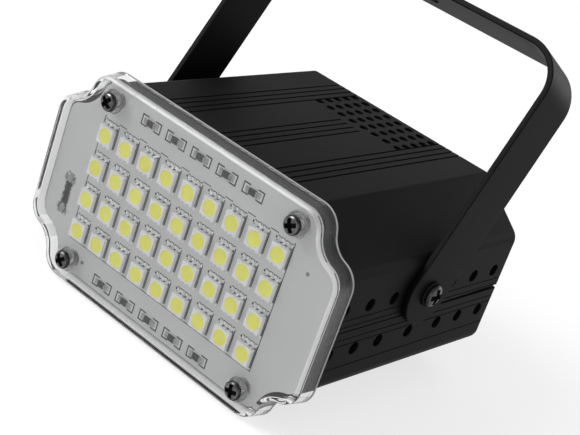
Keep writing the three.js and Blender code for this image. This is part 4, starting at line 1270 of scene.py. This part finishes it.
def wall_ring(outer, inner, low, high, front, rear):
    """A ring of the housing's wall between two distances from its face and between two heights."""
    ring = carved(housing_prism(outer, front, rear), [housing_prism(inner, front - OVERRUN, rear + OVERRUN)])
    return carved(ring, [box(WIDE, DEEP, (low, high))], "INTERSECT")


def side_lines(heights):
    """Cutters for the fine lines along both side walls."""
    cuts = []
    for height in heights:
        for side in (-1, 1):
            across = (side * (HOUSING_HALF_WIDTH - SIDE_LINE_DEPTH), side * WIDE[1])
            cuts.append(box(across, DEEP, (height - SIDE_LINE_HALF, height + SIDE_LINE_HALF)))
    return merged(cuts)


def top_grooves():
    """Cutters for the fine grooves along the top, in three groups."""
    outer_group = FLAT_HALF_WIDTH - GROOVE_GROUP_INSET
    heights = (HOUSING_TOP - GROOVE_DEPTH, HOUSING_TOP + GROOVE_DEPTH)
    cuts = []
    for middle, back in ((-outer_group, DEEP[1]), (0, FIRST_VENT - GROOVE_VENT_GAP), (outer_group, DEEP[1])):
        for i in range(GROOVES):
            x = middle + (i - (GROOVES - 1) / 2) * GROOVE_PITCH
            cut = box((x - GROOVE_HALF, x + GROOVE_HALF), (GROOVE_FRONT, back), heights)
            floor = [vert for vert in cut.verts if vert.co.z < HOUSING_TOP]
            bmesh.ops.scale(cut, verts=floor, vec=(GROOVE_TAPER, 1, 1), space=Matrix.Translation((-x, 0, 0)))
            cuts.append(cut)
    return merged(cuts)


def top_vents():
    """Cutters for the block of round vents in the top."""
    start = HOUSING_TOP - WALL - OVERRUN
    vents = []
    for row in range(VENT_ROWS):
        for column in range(VENT_COLUMNS):
            x = (column - (VENT_COLUMNS - 1) / 2) * VENT_PITCH
            place = (x, FIRST_VENT + row * VENT_PITCH, 0)
            vents.append(flared_cut("z", VENT_RADIUS, start, HOUSING_TOP, place, VENT_STEPS))
    return merged(vents)


def nut_pocket(side):
    """The three walls that keep a pivot nut from turning."""
    low, high = node_ends("pivot_nut_right")
    half = (high.y - low.y) / 2 + FIT_GAP
    outer_half = half + POCKET_WALL
    inside = HOUSING_HALF_WIDTH - WALL
    block = box(
        (side * low.x, side * (inside + WALL / 2)),
        (PIVOT.y - outer_half, PIVOT.y + outer_half),
        (PIVOT.z - half, PIVOT.z + outer_half),
    )
    pocket = box(
        (side * (low.x - OVERRUN), side * inside),
        (PIVOT.y - half, PIVOT.y + half),
        (PIVOT.z - half - OVERRUN, PIVOT.z + half + FIT_GAP),
    )
    return carved(block, [pocket])


def screw_posts(z):
    """The posts inside the housing that take two of the cover's screws."""
    out = SCREW_PLACES["upper_right"].x
    front = HOUSING_FRONT + FIT_GAP
    return [bar("y", POST_RADIUS, front, POST_REAR, (side * out, 0, z), POST_STEPS) for side in (-1, 1)]


def screw_bores(z):
    """The bores in those posts."""
    out = SCREW_PLACES["upper_right"].x
    front, rear = POST_BORE_ENDS
    return [bar("y", THREAD_BORE, front, rear, (side * out, 0, z)) for side in (-1, 1)]


def seam_cutter():
    """Everything above the seam, whose upper edge rises a little from the pivot to the rear."""
    block = box(WIDE, (-OVERRUN, PIVOT.y), (SEAM_TOP, ABOVE))
    front = [face for face in block.faces if face.calc_center_median().y > PIVOT.y - TINY]
    rear = pushed(block, front, (0, HOUSING_REAR + OVERRUN - PIVOT.y, 0))
    low = {vert for face in rear for vert in face.verts if vert.co.z < ABOVE - TINY}
    bmesh.ops.translate(block, verts=list(low), vec=(0, 0, SEAM_TOP_REAR - SEAM_TOP))
    doubled = [face for face in block.faces if abs(face.calc_center_median().y - PIVOT.y) < TINY]
    bmesh.ops.delete(block, geom=doubled, context="FACES_ONLY")
    bmesh.ops.recalc_face_normals(block, faces=block.faces)
    return block


def hole_depths():
    """The places of the side holes in a row, the one at the pivot first."""
    offsets = [side * offset for side in (-1, 1) for offset in SIDE_HOLE_OFFSETS]
    return [PIVOT.y + offset for offset in (0, *offsets)]


def upper_housing(walls, black):
    """The upper shell: grooves, vents, side holes, nut pockets and posts."""
    up = SCREW_PLACES["upper_right"].z
    middle = (0, node_middle("shell_screw").y, 0)
    shell = carved(walls, [seam_cutter()], "INTERSECT")
    rebate_ends = (HOUSING_FRONT - OVERRUN, HOUSING_REAR - WALL / 2)
    rebate = wall_ring(WALL / 2, WALL + OVERRUN, BASE / 2, SEAM_TOP + LIP_HEIGHT, *rebate_ends)
    shell = carved(shell, [rebate])
    centre_post = bar("z", CENTRE_POST_RADIUS, SEAM_TOP, HOUSING_TOP - WALL / 2, middle, POST_STEPS)
    shell = carved(shell, [merged([*screw_posts(up), nut_pocket(-1), nut_pocket(1), centre_post])], "UNION")
    holes = [through_cut(SIDE_HOLE_RADIUS, HOUSING_HALF_WIDTH, (0, y, PIVOT.z)) for y in hole_depths()]
    post_bore = bar("z", THREAD_BORE, 0, CENTRE_BORE_TOP, middle)
    neck_bore = bar("y", NECK_BORE, HOUSING_REAR - WALL - OVERRUN, DEEP[1], (CONTROL.x, 0, CONTROL.z))
    bores = merged([*screw_bores(up), post_bore, neck_bore])
    shell = carved(shell, [merged(holes), top_vents(), bores, top_grooves(), side_lines(SIDE_LINES_UPPER)])
    finished(shell, "upper_housing", "housing", [black], "housing_plastic", "upper_shell")


def lower_housing(walls, black, shade):
    """The lower shell: tongue, posts, standoffs and the recess for the screw in the base."""
    down = SCREW_PLACES["lower_right"].z
    middle = (0, node_middle("shell_screw").y, 0)
    floor = BASE + WALL
    rooted = floor - WALL / 2
    shell = carved(walls, [box(WIDE, DEEP, (BELOW, SEAM_BOTTOM))], "INTERSECT")
    tongue_rear = HOUSING_REAR - WALL / 2 - FIT_GAP
    tongue_top = SEAM_TOP + LIP_HEIGHT - FIT_GAP
    tongue = wall_ring(WALL / 2 + FIT_GAP, WALL, -WALL, tongue_top, SHOULDER_FRONT, tongue_rear)
    shell = carved(shell, [tongue], "UNION")
    boss = bar("z", CENTRE_BOSS_RADIUS, rooted, SEAM_BOTTOM, middle, POST_STEPS)
    shell = carved(shell, [merged([*screw_posts(down), boss])], "UNION")
    for x, y in DRIVER_PINS:
        standoff = bar("z", STANDOFF_RADIUS, rooted, DRIVER_BOTTOM - SEAT_GAP, (x, y, 0))
        shell = carved(shell, [standoff], "UNION")
        pin = bar("z", PIN_RADIUS, floor, DRIVER_TOP + PIN_PROUD, (x, y, 0))
        shell = carved(shell, [pin], "UNION")
    holes = [through_cut(SIDE_HOLE_RADIUS, HOUSING_HALF_WIDTH, (0, y, LOWER_HOLE_UP)) for y in hole_depths()]
    post_bore = bar("z", THREAD_BORE, BELOW, BASE_BORE_TOP, middle)
    gland_bore = bar("y", GLAND_BORE, HOUSING_REAR - WALL - OVERRUN, DEEP[1], (GLAND.x, 0, GLAND.z))
    cuts = merged([*screw_bores(down), post_bore, gland_bore])
    recess = flared_cut("-z", BASE_HEAD[0] + FIT_GAP, -BASE - RECESS_DEPTH, -BASE, middle, POST_STEPS)
    shell = carved(shell, [merged(holes), cuts, recess, side_lines(SIDE_LINES_LOWER)])
    # the faces in the seam get painted shade
    for face in shell.faces:
        in_seam = face.calc_center_median().z > SEAM_BOTTOM - TINY
        face.material_index = int(in_seam)
    finished(shell, "lower_housing", "housing", [black, shade], "housing_plastic", "lower_shell")


def bent(bm, faces, centre):
    """Bends a strip's end faces a quarter turn about a centre and returns the faces at the far end."""
    edges = list({edge for face in faces for edge in face.edges})
    verts = list({vert for face in faces for vert in face.verts})
    made = bmesh.ops.spin(
        bm,
        geom=verts + edges + faces,
        cent=centre,
        axis=(0, 1, 0),
        angle=math.pi / 2,
        steps=BEND_STEPS,
        use_duplicate=False,
    )
    return [item for item in made["geom_last"] if isinstance(item, bmesh.types.BMFace)]


def bracket_strip():
    """The steel strip bent into a U, its section rounded at the corners."""
    bm = box((-ARM_OUTER, -ARM_INNER), (-BRACKET_HALF, BRACKET_HALF), (0, OVERRUN))
    sides_and_top = [face for face in bm.faces if face.calc_center_median().z > TINY]
    bmesh.ops.delete(bm, geom=sides_and_top, context="FACES")
    rounded_points(bm, bm.verts[:], BRACKET_EDGE_ROUND, SMALL_STEPS)
    bend_out = ARM_INNER - BRACKET_BEND
    end = pushed(bm, bm.faces[:], (0, 0, BEND_UP))
    end = bent(bm, end, (-bend_out, 0, BEND_UP))
    end = pushed(bm, end, (2 * bend_out, 0, 0))
    end = bent(bm, end, (bend_out, 0, BEND_UP))
    pushed(bm, end, (0, 0, -BEND_UP))
    bmesh.ops.remove_doubles(bm, verts=bm.verts, dist=TINY)
    bmesh.ops.recalc_face_normals(bm, faces=bm.faces)
    return bm


def bracket():
    """The bent steel strip: two arms with round feet and a crossbar with a hole."""
    corner = BRACKET_HALF - BRACKET_EDGE_ROUND
    inner, outer = ARM_INNER + FOOT_INSET, ARM_OUTER - FOOT_INSET
    foot = [(0, inner)]
    foot += arc_points((corner, inner + BRACKET_EDGE_ROUND), BRACKET_EDGE_ROUND, -90, 0, SMALL_STEPS)
    foot += arc_points((corner, outer - BRACKET_EDGE_ROUND), BRACKET_EDGE_ROUND, 0, 90, SMALL_STEPS)
    foot.append((0, outer))
    feet = [aimed(turned(foot, FINE_STEPS), axis) for axis in ("x", "-x")]
    strip = carved(bracket_strip(), feet, "UNION")
    pivot = through_cut(SIDE_HOLE_RADIUS, ARM_OUTER, (0, 0, 0))
    outer_face = BRACKET_REACH + BRACKET_WALL
    top_hole = flared_cut("z", BRACKET_HOLE_RADIUS, BEND_UP, outer_face, (0, 0, 0), ROUND_STEPS)
    strip = carved(strip, [pivot, top_hole])
    tilt = Matrix.Rotation(-BRACKET_TILT, 3, "X")
    bmesh.ops.rotate(strip, verts=strip.verts, cent=(0, 0, 0), matrix=tilt)
    moved(strip, (0, PIVOT.y, PIVOT.z))
    finished(strip, "painted_bracket", "bracket", [bracket_finish()], "bracket_paint", "bracket")


def hex_nut(across, thickness, bore, chamfer=0.3):
    """A hexagon nut about Y with chamfered corners, its front face on y = 0."""
    corner = across / 2 / math.cos(math.pi / 6)
    blank = turned([(0, 0), (corner, 0), (corner, thickness), (0, thickness)], 6)
    cone = [(0, 0), (corner - chamfer, 0), (corner, chamfer)]
    cone += [(corner, thickness - chamfer), (corner - chamfer, thickness), (0, thickness)]
    blank = carved(blank, [turned(cone)], "INTERSECT")
    return carved(blank, [bar("y", bore, -OVERRUN, thickness + OVERRUN, (0, 0, 0))])


def pivot_hardware(bright, recess_shade, rim_shade):
    """Screw, washer and nut at each pivot."""
    rubber = rubber_finish("washer_black_rubber", grey(0.008))
    plates = [bright, recess_shade, rim_shade]
    bore, radius, thickness, edge = SIDE_HOLE_RADIUS, 3.5, 0.5, 0.12
    ring = [(bore, 0), (radius - edge, 0), (radius, edge), (radius, thickness - edge)]
    ring += [(radius - edge, thickness), (bore, thickness), (bore, 0)]
    seat = node_ends("pivot_screw_right")[1].x - PIVOT_HEAD[1]
    washer_out = node_ends("pivot_washer_right")[1].x
    nut_low, nut_high = node_ends("pivot_nut_right")
    for name, side, axis in (("left", -1, "x"), ("right", 1, "-x")):
        screw = aimed(pan_screw(PIVOT_SCREW_RADIUS, PIVOT_SCREW_LENGTH, PIVOT_HEAD), axis)
        moved(screw, (side * seat, PIVOT.y, PIVOT.z))
        finished(screw, "bright_screw_" + name, "housing", plates, "bright_steel", "pivot_screw_" + name)
        washer = moved(aimed(turned(ring), axis), (side * washer_out, PIVOT.y, PIVOT.z))
        finished(washer, "washer_" + name, "housing", [rubber], "washer_rubber", "pivot_washer_" + name)
        nut = aimed(hex_nut(nut_high.y - nut_low.y, nut_high.x - nut_low.x, bore), axis)
        moved(nut, (side * nut_high.x, PIVOT.y, PIVOT.z))
        finished(nut, "nut_" + name, "housing", [bright], "bright_steel", "pivot_nut_" + name)


def speed_knob():
    """The fluted knob in the rear wall with its white pointer line."""
    radius, edge, skirt_radius, skirt_depth, skirt_round = 7, 1.0, 6.2, 2.9, 0.15
    dish_radius, dish, shaft_bore = 3.6, 0.25, 3.1
    flutes, flute_radius, flute_out, flute_steps = 12, 1.0, 0.5, 24
    slot_half, slot_depth, above = 0.4, 0.4, KNOB_HEIGHT + OVERRUN
    mark_half, mark_depths, mark_inset, mark_round = 0.28, (0.38, 0.22), (0.3, 0.6), 0.04
    floor = KNOB_HEIGHT - dish
    profile = [(skirt_radius, 0), (radius - skirt_round, 0), (radius, skirt_round)]
    profile += arc_points((radius - edge, KNOB_HEIGHT - edge), edge, 0, 90, 6)
    profile += [(dish_radius, KNOB_HEIGHT), (dish_radius - dish, floor), (0, floor)]
    profile += [(0, KNOB_HEIGHT - edge), (shaft_bore, KNOB_HEIGHT - edge), (shaft_bore, skirt_depth)]
    profile += [(skirt_radius, skirt_depth), (skirt_radius, 0)]
    cuts = []
    for i in range(flutes):
        angle = (i + 0.5) * math.tau / flutes
        place = ((radius + flute_out) * math.cos(angle), 0, (radius + flute_out) * math.sin(angle))
        cuts.append(bar("y", flute_radius, skirt_depth, above, place, flute_steps))
    pointer = box((-slot_half, slot_half), (KNOB_HEIGHT - slot_depth, above), (0, radius + OVERRUN))
    knob = carved(turned(profile, FINE_STEPS), [merged(cuts), pointer])
    place = (CONTROL.x, KNOB_FRONT, CONTROL.z)
    plastic = moulded_finish("knob_black_plastic", (0.012, 0.012, 0.0125), 0.4, 0.3, 0.4, 0.015)
    finished(moved(knob, place), "fluted_knob", "knob", [plastic], "knob_plastic", "speed_knob")
    white = moulded_finish("knob_white_line", (0.72, 0.72, 0.70), 0.5, 0.5, 0.4, 0.01)
    along = (dish_radius + mark_inset[0], radius - mark_inset[1])
    mark = box((-mark_half, mark_half), [KNOB_HEIGHT - depth for depth in mark_depths], along)
    finished(moved(softened(mark, mark_round), place), "knob_pointer_line", "knob", [white], "knob_plastic")


def potentiometer(bright):
    """The speed control behind the knob: body, threaded neck, nut and shaft."""
    grey_metal = metal_finish("control_grey_metal", (0.42, 0.42, 0.43), 0.3, (0.33, 0.33, 0.34))
    low, high = node_ends("potentiometer")
    radius = (high.x - low.x) / 2
    neck, bore, body_depth, bore_depth, edge = 3.5, 3.15, 9, 5, 0.5
    thread_depth, thread_turns, plain = 0.15, 7, 0.6
    shaft_radius, shaft_edge, nut_across = 3, 0.3, 10
    shoulder, bore_floor = low.y + body_depth, low.y + body_depth - bore_depth
    profile = [(0, low.y), (radius - edge, low.y), (radius, low.y + edge), (radius, shoulder - edge)]
    profile += [(radius - edge, shoulder), (neck, shoulder)]
    profile += thread(neck, thread_depth, shoulder + plain, thread_turns)
    profile += [(neck - thread_depth, high.y), (bore, high.y), (bore, bore_floor), (0, bore_floor)]
    body = moved(turned(profile), (CONTROL.x, 0, CONTROL.z))
    finished(body, "control_body", "housing", [grey_metal], "control_metal", "potentiometer")
    low, high = node_ends("potentiometer_shaft")
    profile = [(0, low.y), (shaft_radius - shaft_edge, low.y), (shaft_radius, low.y + shaft_edge)]
    profile += [(shaft_radius, high.y - shaft_edge), (shaft_radius - shaft_edge, high.y), (0, high.y)]
    shaft = moved(turned(profile), (CONTROL.x, 0, CONTROL.z))
    finished(shaft, "control_shaft", "knob", [grey_metal], "control_metal", "potentiometer_shaft")
    low, high = node_ends("potentiometer_nut")
    nut = moved(hex_nut(nut_across, high.y - low.y, neck + SEAT_GAP), (CONTROL.x, low.y, CONTROL.z))
    finished(nut, "control_nut", "housing", [bright], "bright_steel", "potentiometer_nut")


def cord_gland():
    """The rubber gland in the rear wall, with ribs round its tapered tail."""
    bore, neck, barb, flange = 2.5, 4.2, 5.0, 6.0
    barb_front, barb_rear, flange_depth = -4.4, -2.4, 1.5
    ribs, rib_pitch, rib_radius, rib_height, rib_taper = 5, 2.0, 4.8, 0.5, 0.18
    profile = [(bore, barb_front), (neck, barb_front), (barb, barb_rear), (neck, barb_rear), (neck, 0.0)]
    profile += [(flange - 0.1, 0.0), (flange, 0.12), (flange, 1.3), (flange - 0.2, flange_depth)]
    for rib in range(ribs):
        start = (rib + 1) * rib_pitch
        radius = rib_radius - rib_taper * rib
        root = radius - rib_height
        profile += [(root, start), (radius, start + 0.35), (radius, start + 1.25), (root, start + 1.6)]
    profile += [(3.8, 12.0), (3.6, 12.4), (bore + 0.1, 12.5), (bore, 12.4), (bore, barb_front)]
    gland = moved(turned(profile), (GLAND.x, GLAND_SEAT, GLAND.z))
    rubber = rubber_finish("gland_black_rubber", grey(0.010))
    finished(gland, "rubber_gland", "housing", [rubber], "gland_rubber", "cord_gland")


def standing_box(place, size, sink=0.1):
    """A component's body on the driver board, from its middle and its width, depth and height."""
    (x, y), (width, depth, height) = place, size
    across, back = (x - width / 2, x + width / 2), (y - depth / 2, y + depth / 2)
    return box(across, back, (DRIVER_TOP - sink, DRIVER_TOP + height))


def transistor_tab():
    """The metal tab with its hole, which stands up behind the power transistor."""
    x, y = POWER_PLACE
    half, depths, heights, hole_radius, hole_up, hole_end = 5, (1.0, 2.2), (8.5, 15), 1.6, 12, 3
    tab = box((x - half, x + half), [y + depth for depth in depths], [DRIVER_TOP + up for up in heights])
    return carved(tab, [bar("y", hole_radius, y, y + hole_end, (x, 0, DRIVER_TOP + hole_up))])


def chip_pins():
    """The four pins on each side of the controller chip."""
    x, y = CHIP_PLACE
    pins, pitch, half, span, height = 4, 1.9, 0.25, (2.9, 3.6), 1.4
    made = []
    for side in (-1, 1):
        for i in range(pins):
            pin_y = y + (i - (pins - 1) / 2) * pitch
            across = [x + side * out for out in span]
            made.append(box(across, (pin_y - half, pin_y + half), (DRIVER_TOP, DRIVER_TOP + height)))
    return made


def driver_board(tin):
    """The driver board with a film capacitor, a power transistor and a controller chip."""
    board_round, film_round, film_steps, transistor_round, chip_round = 0.1, 0.8, 4, 0.3, 0.2
    board = box((driver_low.x, driver_high.x), (driver_low.y, driver_high.y), (DRIVER_BOTTOM, DRIVER_TOP))
    cut = (DRIVER_BOTTOM - OVERRUN, DRIVER_TOP + OVERRUN)
    holes = [bar("z", PIN_RADIUS + FIT_GAP, *cut, (x, y, 0)) for x, y in DRIVER_PINS]
    middle = (0, node_middle("shell_screw").y, 0)
    holes.append(bar("z", CENTRE_BOSS_RADIUS + FIT_GAP, *cut, middle, POST_STEPS))
    board = softened(carved(board, [merged(holes)]), board_round, 1)
    finished(board, "green_driver_board", "housing", [driver_board_finish()], "driver_green", "driver_board")
    film = softened(standing_box(FILM_PLACE, FILM_SIZE), film_round, film_steps)
    yellow = moulded_finish("film_capacitor_yellow", (0.55, 0.36, 0.05), 0.4, 0.5, 0.5, 0.01)
    finished(film, "film_capacitor", "housing", [yellow], "driver_green")
    black = moulded_finish("transistor_black_resin", grey(0.02), 0.5, 0.4, 0.3, 0.01)
    transistor = softened(standing_box(POWER_PLACE, POWER_SIZE), transistor_round)
    chip = softened(standing_box(CHIP_PLACE, CHIP_SIZE), chip_round)
    finished(merged([transistor, chip]), "transistor_and_chip", "housing", [black], "driver_green")
    metal = merged([transistor_tab(), *chip_pins()])
    finished(metal, "transistor_tab_and_pins", "housing", [tin], "driver_green")


def filter_capacitor():
    """The electrolytic capacitor with its crimped sleeve."""
    low, high = node_ends("filter_capacitor")
    radius, height = (high.x - low.x) / 2, high.z - low.z
    foot_round, crimp, crimp_up, crimp_half, top_round, rim, dish = 0.3, 0.4, 2.1, 0.5, 0.8, 0.4, 0.2
    profile = [(0, 0), (radius - foot_round, 0), (radius, foot_round), (radius, crimp_up - crimp_half)]
    profile += [(radius - crimp, crimp_up), (radius, crimp_up + crimp_half)]
    profile += arc_points((radius - top_round, height - top_round), top_round, 0, 90, 4)
    inside = radius - top_round - rim
    profile += [(inside, height), (inside - 0.1, height - dish), (0, height - dish)]
    middle = (low + high) / 2
    can = moved(aimed(turned(profile), "z"), (middle.x, middle.y, low.z))
    sleeve = sleeve_finish(middle.x)
    finished(can, "sleeved_capacitor", "housing", [sleeve], "capacitor_sleeve", "filter_capacitor")


def lead_strand(side):
    """One strand of the twin lead: a round section carried along a smooth curve with two handles."""
    low, high = node_ends("led_lead")
    radius, spread, steps, sides = 0.62, 0.6, 48, 12
    start = Vector((SLOT_PLACE[0], low.y, SLOT_PLACE[1]))
    inset_x, inset_y, rise = 1.3, 0.7, 6
    end = Vector((high.x - inset_x, high.y - inset_y, low.z))
    points = (start, Vector((start.x, end.y, start.z)), Vector((end.x, end.y, start.z + rise)), end)
    bm = bmesh.new()
    rings = []
    for step in range(steps + 1):
        share = step / steps
        rest = 1 - share
        weights = (rest**3, 3 * rest**2 * share, 3 * rest * share**2, share**3)
        slopes = (-3 * rest**2, 3 * rest * (rest - 2 * share), 3 * share * (2 * rest - share), 3 * share**2)
        middle = sum((p * w for p, w in zip(points, weights)), Vector())
        forward = sum((p * s for p, s in zip(points, slopes)), Vector()).normalized()
        aside = forward.cross(Vector((1, 0, 0))).normalized()
        turn = Matrix((aside.cross(forward), aside, forward)).transposed().to_4x4()
        centre = Matrix.Translation(middle + aside * side * spread)
        made = bmesh.ops.create_circle(bm, segments=sides, radius=radius, matrix=centre @ turn)
        rings.append(list({edge for vert in made["verts"] for edge in vert.link_edges}))
    for first, second in zip(rings, rings[1:]):
        bmesh.ops.bridge_loops(bm, edges=first + second)
    for ring in (rings[0], rings[-1]):
        bmesh.ops.contextual_create(bm, geom=ring)
    bmesh.ops.recalc_face_normals(bm, faces=bm.faces)
    return bm


def led_lead():
    """The twin lead from the driver board to the LED board, as two strands side by side."""
    strands = merged([lead_strand(side) for side in (-1, 1)])
    white = moulded_finish("lead_white_pvc", (0.72, 0.70, 0.65), 0.42, 0.5, 0.4, 0.01)
    finished(strands, "white_twin_lead", "housing", [white], "lead_insulation", "led_lead")


def studio():
    """A pale floor that keeps the object's shadow, an even surrounding light and three soft lamps."""
    bm = bmesh.new()
    bmesh.ops.create_circle(bm, cap_ends=True, radius=FLOOR_RADIUS, segments=64)
    floor = solid_object(bm, "studio_floor")
    white = (1, 1, 1, 1)
    paper = Finish("floor_white", Base_Color=(*grey(0.30), 1), Roughness=0.9, Specular_IOR_Level=0.1)
    paper.shader.inputs["Emission Color"].default_value = white
    rays = paper.tree.nodes.new("ShaderNodeLightPath")
    kinds = ("Is Camera Ray", "Is Glossy Ray", "Is Transmission Ray")
    camera_ray, glossy_ray, through_ray = (Signal(paper, rays.outputs[kind]) for kind in kinds)
    glow = camera_ray.larger(through_ray).larger(glossy_ray * FLOOR_IN_GLOSS)
    paper.feed(Emission_Strength=glow * FLOOR_GLOW)
    floor.data.materials.append(paper.material)
    world = bpy.data.worlds.new("studio_world")
    world.use_nodes = True
    background = world.node_tree.nodes["Background"]
    background.inputs["Color"].default_value = white
    background.inputs["Strength"].default_value = WORLD_STRENGTH
    bpy.context.scene.world = world
    for name, (place, watts) in LAMPS.items():
        soft_lamp(name, place, watts)


bpy.context.scene.view_settings.view_transform = "Standard"
camera()
studio()
solder_tin = metal_finish("solder_tin", grey(0.80), 0.32, (0.55, 0.55, 0.56), 0.5)
dull_solder = metal_finish("dull_solder", grey(0.42), 0.4, grey(0.30), 0.4)
bright_steel = metal_finish("dark_steel_plate", grey(0.085), 0.12, grey(0.12))
# painted shade for the screws' cross recesses and the housing's seam, made with the rubber finish
screw_shade = rubber_finish("screw_recess_shade", grey(0.004))
# the screws' black steel darkened as painted shade round their heads' rims
screw_black = metal_finish("screw_rim_painted_shade", grey(0.035), 0.24, grey(0.05))
black_plastic = moulded_finish("housing_black_plastic", (0.0045, 0.0045, 0.0047), 0.46, 0.065, 0.55, 0.02)
front_cover()
black_screws(screw_shade, screw_black)
led_board()
solder_joints(dull_solder)
resistors(dull_solder)
leds(solder_tin)
housing = housing_walls()
lower_walls = housing.copy()
upper_housing(housing, black_plastic)
lower_housing(lower_walls, black_plastic, screw_shade)
bracket()
pivot_hardware(bright_steel, screw_shade, screw_black)
speed_knob()
potentiometer(bright_steel)
cord_gland()
driver_board(solder_tin)
filter_capacitor()
led_lead()
